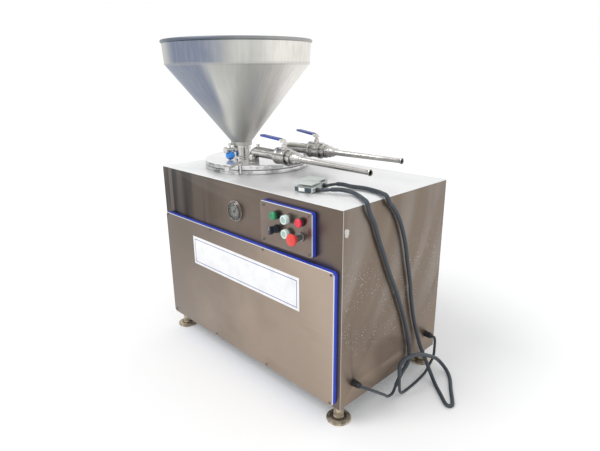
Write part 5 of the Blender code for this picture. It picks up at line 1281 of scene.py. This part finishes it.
class STUFFER_OT_lid(bpy.types.Operator):
    """Lid plate with its clamp notches, ports and the welds round what stands on it"""
    bl_idname = "stuffer.lid"
    bl_label = "Lid"

    def execute(self, context):
        sizes = context.scene.stuffer_sizes
        low = LID_FOOT
        lid = lathe([(0, LID_TOP), (0.195, LID_TOP), (0.21, LID_TOP), (0.2122, LID_TOP - 0.0008),
                     (LID_RADIUS, LID_TOP - 0.0024), (LID_RADIUS, LID_TOP - 0.0072),
                     (0.2122, LID_TOP - 0.0078), (0.2122, LID_TOP - 0.0088), (LID_RADIUS, LID_TOP - 0.0094),
                     (LID_RADIUS, low + 0.0012), (0.2122, low), (0.1988, low), (0.1988, low + 0.003),
                     (0.1882, low + 0.003), (0.1882, low), (0.1795, low), (0.1795, low + 0.008),
                     (0, low + 0.008)],
                    "lid_polished", at(BARREL_X, 0, 0), sizes.wide_sides)
        tools = list(notch_tools(low - 0.001, LID_TOP + 0.001))
        holes = ((*HOPPER, 0.0225), (OUTLET[0], OUTLET[1], 0.0185), (OUTLET[0], -OUTLET[1], 0.0185))
        for x, y, radius in holes:
            run = [(x, y, low - 0.002), (x, y, LID_TOP + 0.002)]
            tools.append(tube(run, radius, "lid_polished", at(0, 0, 0), 48))
        lid = carved(lid, tools)
        welds = [ring(0.0332, 0.0011, LID_TOP + 0.0006, "weld_bead", at(*HOPPER, 0), 64)]
        for side in (-1, 1):
            spot = at(OUTLET[0], side * OUTLET[1], 0)
            welds.append(ring(0.0212, 0.0012, LID_TOP + 0.0006, "weld_bead", spot, 64))
        mount(joined("lid_and_welds", lid, *welds), "cabinet", "bright_steel", "lid_plate")
        dress("lid_seal", "seal_rubber")
        return {"FINISHED"}


class STUFFER_OT_clamps(bpy.types.Operator):
    """Two clamp nuts, each with one long arm"""
    bl_idname = "stuffer.clamps"
    bl_label = "Clamp nuts"

    def execute(self, context):
        head = lathe(mm((7, 0), (8.3, 0), (8.5, 0.6), (8.5, 24), (11, 26.8), (14.6, 29.8), (15.5, 31.2),
                        (15.5, 33), (14.6, 33.9), (3, 34), (0, 34), (0, 24), (7, 24), (7, 0)),
                     "bright_polished", UNMOVED)
        arm = tube([(0.0078, 0, 0.0125), (0.139, 0, 0.0125)], 0.005, "bright_polished", UNMOVED, 24)
        tip = lathe(mm((0, 0), (5.8, 0), (7.2, 6), (8.3, 12.5), (8, 13.8), (7, 14), (0, 14)),
                    "bright_polished", moved(0.131, 0, 0.0125) @ ALONG_X)
        weld = ring(0.0052, 0.0008, 0.0086, "weld_bead", moved(0, 0, 0.0125) @ ALONG_X, 24)
        nut = joined("clamp", head, arm, tip, weld)
        for name, side in OUTWARD.items():
            angle = side * CLAMP_ANGLE
            bolt = (BARREL_X + CLAMP_CIRCLE * math.cos(angle), CLAMP_CIRCLE * math.sin(angle))
            spot = at(*bolt, LID_TOP + GAP, spun(angle))
            mount(copied(nut, "clamp_" + name, spot), "clamp_" + name, "bright_steel", "clamp_nut_" + name)
        bpy.data.objects.remove(nut)
        return {"FINISHED"}


class STUFFER_OT_hopper(bpy.types.Operator):
    """Spun hopper with rolled rim, band, cone, collar and weld seams"""
    bl_idname = "stuffer.hopper"
    bl_label = "Hopper"

    def execute(self, context):
        sizes = context.scene.stuffer_sizes
        top = 1.231
        bead = 0.006
        profile = [(0.281, top - 0.0003)]
        for i in range(13):
            angle = math.radians(90 - 180 * i / 12)
            profile.append((0.282 + bead * math.cos(angle), top - bead + bead * math.sin(angle)))
        profile += [(0.2829, top - 2 * bead - 0.001), (0.2784, 1.15), (0.279, 1.1478), (0.2787, 1.1452),
                    (0.2779, 1.1428), (0.2752, 1.141), (0.0412, 0.848), (0.0425, 0.8466), (0.0427, 0.845),
                    (0.0425, 0.8336), (0.0255, 0.8336), (0.0255, 0.847), (0.0373, 0.851), (0.275, 1.144),
                    (0.2762, 1.15), (0.281, top - 0.0003)]
        cone = lathe(profile, "hopper_spun", at(*HOPPER, 0), sizes.wide_sides, 0.0, 28.0)
        seams = []
        steps = 40
        for angle, (r0, z0), (r1, z1) in ((128, (0.2752, 1.14), (0.042, 0.8485)),
                                          (115, (0.2828, 1.218), (0.2786, 1.15))):
            turn = at(*HOPPER, 0, spun(math.radians(angle)))
            line = [(r0 + (r1 - r0) * i / steps, 0, z0 + (z1 - z0) * i / steps) for i in range(steps + 1)]
            seams.append(tube(line, sizes.seam * 0.75, "weld_bead", turn, 8))
        seams.append(ring(0.042, 0.0012, 0.8474, "weld_bead", at(*HOPPER, 0), 64))
        mount(joined("hopper_cone", cone, *seams), "cabinet", "bright_steel", "hopper")
        return {"FINISHED"}


class STUFFER_OT_inlet(bpy.types.Operator):
    """Inlet valve under the hopper: body, shaft with flap and lever, ball knob"""
    bl_idname = "stuffer.inlet"
    bl_label = "Inlet valve"

    def execute(self, context):
        foot = 0.7778
        top = 0.8333
        body = lathe([(0.0225, foot), (0.0325, foot), (0.0325, foot + 0.006), (0.0312, foot + 0.007),
                      (0.0312, foot + 0.012), (0.0325, foot + 0.013), (0.0325, top - 0.014),
                      (0.0315, top - 0.0132), (0.0315, top - 0.0118), (0.0325, top - 0.011),
                      (0.0325, top - 0.0008), (0.0317, top), (0.0225, top), (0.0225, foot)],
                     "bright_polished", at(*HOPPER, 0), 64, 0.0, 30.0)
        hub = at(*HOPPER, INLET_Z)
        near = lathe(mm((7, 29), (12, 29), (12, 40), (11.2, 40.9), (7, 40.9), (7, 29)),
                     "bright_polished", hub @ OUT_OF_FRONT)
        far = lathe(mm((0, 29), (12, 29), (12, 36), (11.2, 36.9), (0, 36.9)),
                    "bright_polished", hub @ OUT_OF_BACK)
        mount(joined("inlet_body", body, near, far), "cabinet", "bright_steel", "inlet_valve_body")
        shaft = lathe(mm((0, 85), (10.8, 85), (13, 84), (13.5, 82.5), (13.5, 79.7), (12.8, 79),
                         (7.5, 78.5), (7.5, 43.5), (11.2, 43.4), (12, 42.8), (12, 41.4), (6, 41.3),
                         (6, -35), (0, -35)), "bright_polished", hub @ OUT_OF_FRONT)
        flap = tube([(-0.002, 0, 0), (0.002, 0, 0)], 0.021, "bright_polished", hub, 64)
        lever = tube([(0, -0.06, -0.0225), (0, -0.06, 0.0215)], 0.004, "bright_polished", hub, 20)
        nut = lathe(mm((0, 18), (6.8, 18), (7.5, 18.6), (7.5, 24), (6.6, 24.9), (0, 25)),
                    "bright_polished", hub @ moved(0, -0.06, 0), 6, 0.0003)
        turning = joined("inlet_shaft", shaft, flap, lever, nut)
        mount(turning, "inlet_valve", "bright_steel", "inlet_valve_disc")
        ball = []
        for i in range(25):
            angle = math.radians(-90 + i * 6.0)
            height = 0.0185 * math.sin(angle)
            if height < 0.014:
                ball.append((0.0185 * math.cos(angle), -0.0225 + height))
        ball += [(0.011, -0.0084), (0.0062, -0.0082), (0.0045, -0.0086), (0.0045, -0.02), (0, -0.02)]
        knob = lathe(ball, "knob_blue", hub @ moved(0, -0.06, 0), 64, 0.0, 50.0)
        knob.name = "knob_ball"
        mount(knob, "inlet_valve", "blue_plastic", "ball_knob")
        return {"FINISHED"}


class STUFFER_OT_outlets(bpy.types.Operator):
    """Two outlets: elbow, ball valve, union nut and filling horn"""
    bl_idname = "stuffer.outlets"
    bl_label = "Outlets"

    def execute(self, context):
        for side in ("front", "rear"):
            outward = OUTWARD[side]
            stand = at(OUTLET[0], outward * OUTLET[1], 0, spun(outward * OUTLET_TURN))
            valve = stand @ moved(PIPE_REACH[side], 0, OUTLET[2])
            self.pipe(side, stand)
            self.valve_body(side, valve)
            self.nut(side, valve)
            self.horn(side, valve)
            self.lever(side, valve)
        return {"FINISHED"}

    def pipe(self, side, stand):
        bend = 0.035
        points = [(0, 0, LID_TOP + GAP), (0, 0, OUTLET[2] - bend - 0.002)]
        for i in range(17):
            angle = math.radians(90 * i / 16)
            points.append((bend * (1 - math.cos(angle)), 0, OUTLET[2] - bend + bend * math.sin(angle)))
        points.append((PIPE_REACH[side] - GAP, 0, OUTLET[2]))
        parts = [tube(points, PIPE_RADIUS, "pipe_polished", stand, 48, 0.002)]
        parts.append(ring(PIPE_RADIUS, 0.0007, PIPE_REACH[side] - 0.004, "weld_bead",
                          stand @ moved(0, 0, OUTLET[2]) @ ALONG_X, 64))
        if side == "front":
            top = stand @ moved(0.03, 0, OUTLET[2] + 0.019)
            parts.append(lathe(mm((0, 4.5), (5, 4.5), (5.5, 4), (5.5, 0), (0, 0)),
                               "bright_polished", top, 32))
            stub = stand @ moved(0.022, 0, 0.8) @ OUT_OF_FRONT
            parts.append(lathe(mm((0, 32.5), (8.8, 32.5), (10, 31.5), (10, 19), (0, 19)),
                               "bright_polished", stub, 32))
            screw = lathe(mm((0, 5.5), (5, 5.5), (6.2, 5), (7, 3.8), (7, 1.2), (6.2, 0.2), (0, 0)),
                          "bright_polished", stand @ moved(0.03, 0, OUTLET[2] + 0.0238), 32)
            slot = block((-0.0009, -0.01, 0.0042), (0.0009, 0.01, 0.007), "bright_polished",
                         stand @ moved(0.03, 0, OUTLET[2] + 0.0238))
            screw = carved(screw, [slot])
            screw.name = "bleed_screw_head"
            mount(screw, "bleeder", "bright_steel", "bleed_screw")
        mount(joined("elbow_" + side, *parts), "cabinet", "bright_steel", "outlet_pipe_" + side)

    def valve_body(self, side, valve):
        body = lathe(mm((17.5, 0), (30.3, 0), (31.5, 1.2), (31.5, 6.6), (30.3, 8), (28.8, 8.8), (28, 11.5),
                        (29, 15), (29, 44), (28, 47.5), (28.8, 50), (30.3, 51.2), (31.5, 52.4), (31.5, 56),
                        (30.9, 56.6), (30.9, 57.4), (31.5, 58), (31.5, 61.8), (30.3, 63), (22.5, 63),
                        (22.5, 71), (23.5, 71.3), (23.5, 78.5), (17.5, 78.5), (17.5, 58.5), (24.2, 58.5),
                        (24.2, 11.5), (17.5, 11.5), (17.5, 0)),
                     "valve_cast", valve @ ALONG_X, 64, 0.0, 30.0)
        boss = lathe(mm((6.3, 26.2), (12.5, 26.2), (11.2, 32.5), (8.8, 35), (8.8, 42.5), (8, 43.8),
                        (6.3, 44), (6.3, 26.2)),
                     "valve_cast", valve @ moved(STEM_X, 0, 0), 32)
        hexagon = lathe(mm((6.3, 35.5), (9.8, 35.5), (10.4, 36.2), (10.4, 40.2), (9.8, 41), (6.3, 41),
                           (6.3, 35.5)), "bright_polished", valve @ moved(STEM_X, 0, 0), 6)
        piece = joined("ball_valve_" + side, body, boss, hexagon)
        mount(piece, "cabinet", "bright_steel", "valve_body_" + side)

    def nut(self, side, valve):
        ringed = lathe(mm((24.5, 71.3), (25.7, 71.3), (26.5, 72.2), (26.5, 85.6), (25.6, 86.5),
                          (23.2, 86.5), (23.2, 83.5), (24.5, 83.5), (24.5, 71.3)),
                       "nut_polished", valve @ ALONG_X, 64)
        tools = [block((0.0254, -0.0028, 0.07), (0.029, 0.0028, 0.088), "nut_polished",
                       valve @ ALONG_X @ spun(math.tau * i / 6)) for i in range(6)]
        ringed = carved(ringed, tools)
        ringed.name = "union_nut_" + side
        mount(ringed, "union_nut_" + side, "bright_steel", "horn_nut_" + side)

    def horn(self, side, valve):
        end = HORN_REACH[side]
        tip = [(0.0085, end - 0.012), (0.009, end - 0.0085), (0.0103, end - 0.0052), (0.011, end - 0.0035),
               (0.0112, end - 0.0018), (0.0106, end - 0.0004), (0.0096, end), (0.0084, end - 0.0006),
               (0.0072, end - 0.003)]
        profile = [(0.0175, 0.0788), (0.0235, 0.0788), (0.0235, 0.0832), (0.0222, 0.0832), (0.0222, 0.1045),
                   (0.0214, 0.1068), (0.019, 0.1105), (0.0172, 0.118), (0.017, 0.1215), (0.015, 0.125),
                   (0.012, 0.129), (0.0112, 0.131), *tip, (0.0092, 0.132), (0.015, 0.121), (0.0172, 0.105),
                   (0.0175, 0.0788)]
        horn = lathe(profile, "horn_polished", valve @ ALONG_X, 48, 0.0, 40.0)
        weld = ring(0.0115, 0.0006, 0.1312, "weld_bead", valve @ ALONG_X, 48)
        inner = lathe([(0.0074, end - 0.0028), (0.0094, 0.1322), (0.009, 0.1322), (0.007, end - 0.0028),
                       (0.0074, end - 0.0028)], "bore_dark", valve @ ALONG_X, 48)
        mount(joined("filling_horn_" + side, horn, weld, inner), "cabinet", "bright_steel", "horn_" + side)

    def lever(self, side, valve):
        body = "outlet_valve_" + side
        arm = refined("valve_lever_" + side, "ball_and_lever_" + side, "bright_polished", 0.0003, 25.0)
        mount(arm, body, "bright_steel", "valve_lever_" + side)
        grip = refined("lever_sleeve_" + side, "vinyl_grip_" + side, "lever_vinyl", 0.002, 40.0, 4)
        mount(grip, body, "blue_vinyl", "lever_sleeve_" + side)


class STUFFER_OT_switches(bpy.types.Operator):
    """Two foot switches lying on the top plate, with treadles, bare labels and cable nozzles"""
    bl_idname = "stuffer.switches"
    bl_label = "Foot switches"

    def execute(self, context):
        for side, centre in SWITCHES.items():
            stand = at(*centre, TOP + GAP, spun(SWITCH_TURN))
            case = refined("switch_housing_" + side, "switch_case_" + side, "switch_cast", 0.0012, 40.0, 3)
            parts = [case]
            if side == "front":
                parts.append(block((-0.0315, -0.03, 0.0036), (0.0315, -0.0286, 0.0186), "switch_slate",
                                   stand, 0.0004))
                parts.append(block((-0.016, -0.0306, 0.0052), (0.007, -0.0299, 0.0172), "mark_white",
                                   stand, 0.0002))
                for x in (0.012, 0.02):
                    parts.append(block((x, -0.0304, 0.006), (x + 0.002, -0.0299, 0.0165), "mark_black",
                                       stand))
            else:
                parts.append(block((-0.031, -0.03, 0.0052), (-0.002, -0.0286, 0.015), "bezel_dark",
                                   stand, 0.0004))
            for i in range(4):
                y = -0.02 + i * 0.008
                parts.append(block((0.0338, y, 0.0085), (0.0345, y + 0.003, 0.014), "bezel_dark", stand))
            start, second = (Vector(p) for p in ROUTES[side][:2])
            run = (second - start).normalized()
            along = run.to_track_quat("Z", "Y").to_matrix().to_4x4()
            nozzle = Matrix.Translation(MIDDLE + start - run * 0.0015) @ along
            parts.append(lathe(mm((0, 0), (7.2, 0), (7.4, 3), (6.6, 4.2), (6.4, 8), (5.7, 15), (5, 15.4),
                                  (0, 15.4)), "gland_nylon", nozzle, 32))
            housing = joined("switch_body_" + side, *parts)
            mount(housing, "cabinet", "grey_green_cast", "switch_housing_" + side)
            plate = refined("treadle_" + side, "treadle_plate_" + side, "switch_cast", 0.0008, 40.0, 2)
            treads = [block((-0.026, -0.018 + i * 0.008, 0.0304), (0.026, -0.0155 + i * 0.008, 0.0309),
                            "switch_cast", stand, 0.0002) for i in range(5)]
            top = joined("treadle_top_" + side, plate, *treads)
            mount(top, "pedal_" + side, "grey_green_cast", "treadle_" + side)
        return {"FINISHED"}


class STUFFER_OT_hydraulics(bpy.types.Operator):
    """Finishes of the frame, ram, tank and motor inside the cabinet"""
    bl_idname = "stuffer.hydraulics"
    bl_label = "Hydraulics"

    def execute(self, context):
        for node, surface in (("base_frame", "frame_enamel"), ("hydraulic_cylinder", "machine_enamel"),
                              ("piston", "ram_chrome"), ("oil_tank", "machine_enamel"),
                              ("motor_and_pump", "machine_enamel")):
            dress(node, surface)
        return {"FINISHED"}


STEPS = (STUFFER_OT_stage, STUFFER_OT_cables, STUFFER_OT_cabinet, STUFFER_OT_panels, STUFFER_OT_screws,
         STUFFER_OT_sign, STUFFER_OT_feet, STUFFER_OT_gauge, STUFFER_OT_buttons, STUFFER_OT_selector,
         STUFFER_OT_glands, STUFFER_OT_barrel, STUFFER_OT_lid, STUFFER_OT_clamps, STUFFER_OT_hopper,
         STUFFER_OT_inlet, STUFFER_OT_outlets, STUFFER_OT_switches, STUFFER_OT_hydraulics)


class STUFFER_PT_panel(bpy.types.Panel):
    """Sizes, colours and steps of the sausage stuffer"""
    bl_idname = "STUFFER_PT_panel"
    bl_label = "Sausage stuffer"
    bl_space_type = "VIEW_3D"
    bl_region_type = "UI"
    bl_category = "Stuffer"

    def draw(self, context):
        layout = self.layout
        for group in (context.scene.stuffer_sizes, context.scene.stuffer_colours):
            column = layout.column(align=True)
            for name in group.__annotations__:
                column.prop(group, name)
        column = layout.column(align=True)
        for step in STEPS:
            column.operator(step.bl_idname)


CLASSES = (StufferSizes, StufferColours, *STEPS, STUFFER_PT_panel)


def register():
    for one in CLASSES:
        bpy.utils.register_class(one)
    bpy.types.Scene.stuffer_sizes = bpy.props.PointerProperty(type=StufferSizes)
    bpy.types.Scene.stuffer_colours = bpy.props.PointerProperty(type=StufferColours)


def unregister():
    del bpy.types.Scene.stuffer_colours
    del bpy.types.Scene.stuffer_sizes
    for one in reversed(CLASSES):
        bpy.utils.unregister_class(one)


def main():
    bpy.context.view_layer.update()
    register()
    bpy.ops.stuffer.stage()
    bpy.ops.stuffer.cables()
    bpy.ops.stuffer.cabinet()
    bpy.ops.stuffer.panels()
    bpy.ops.stuffer.screws()
    bpy.ops.stuffer.sign()
    bpy.ops.stuffer.feet()
    bpy.ops.stuffer.gauge()
    bpy.ops.stuffer.buttons()
    bpy.ops.stuffer.selector()
    bpy.ops.stuffer.glands()
    bpy.ops.stuffer.barrel()
    bpy.ops.stuffer.lid()
    bpy.ops.stuffer.clamps()
    bpy.ops.stuffer.hopper()
    bpy.ops.stuffer.inlet()
    bpy.ops.stuffer.outlets()
    bpy.ops.stuffer.switches()
    bpy.ops.stuffer.hydraulics()


if __name__ == "__main__":
    main()
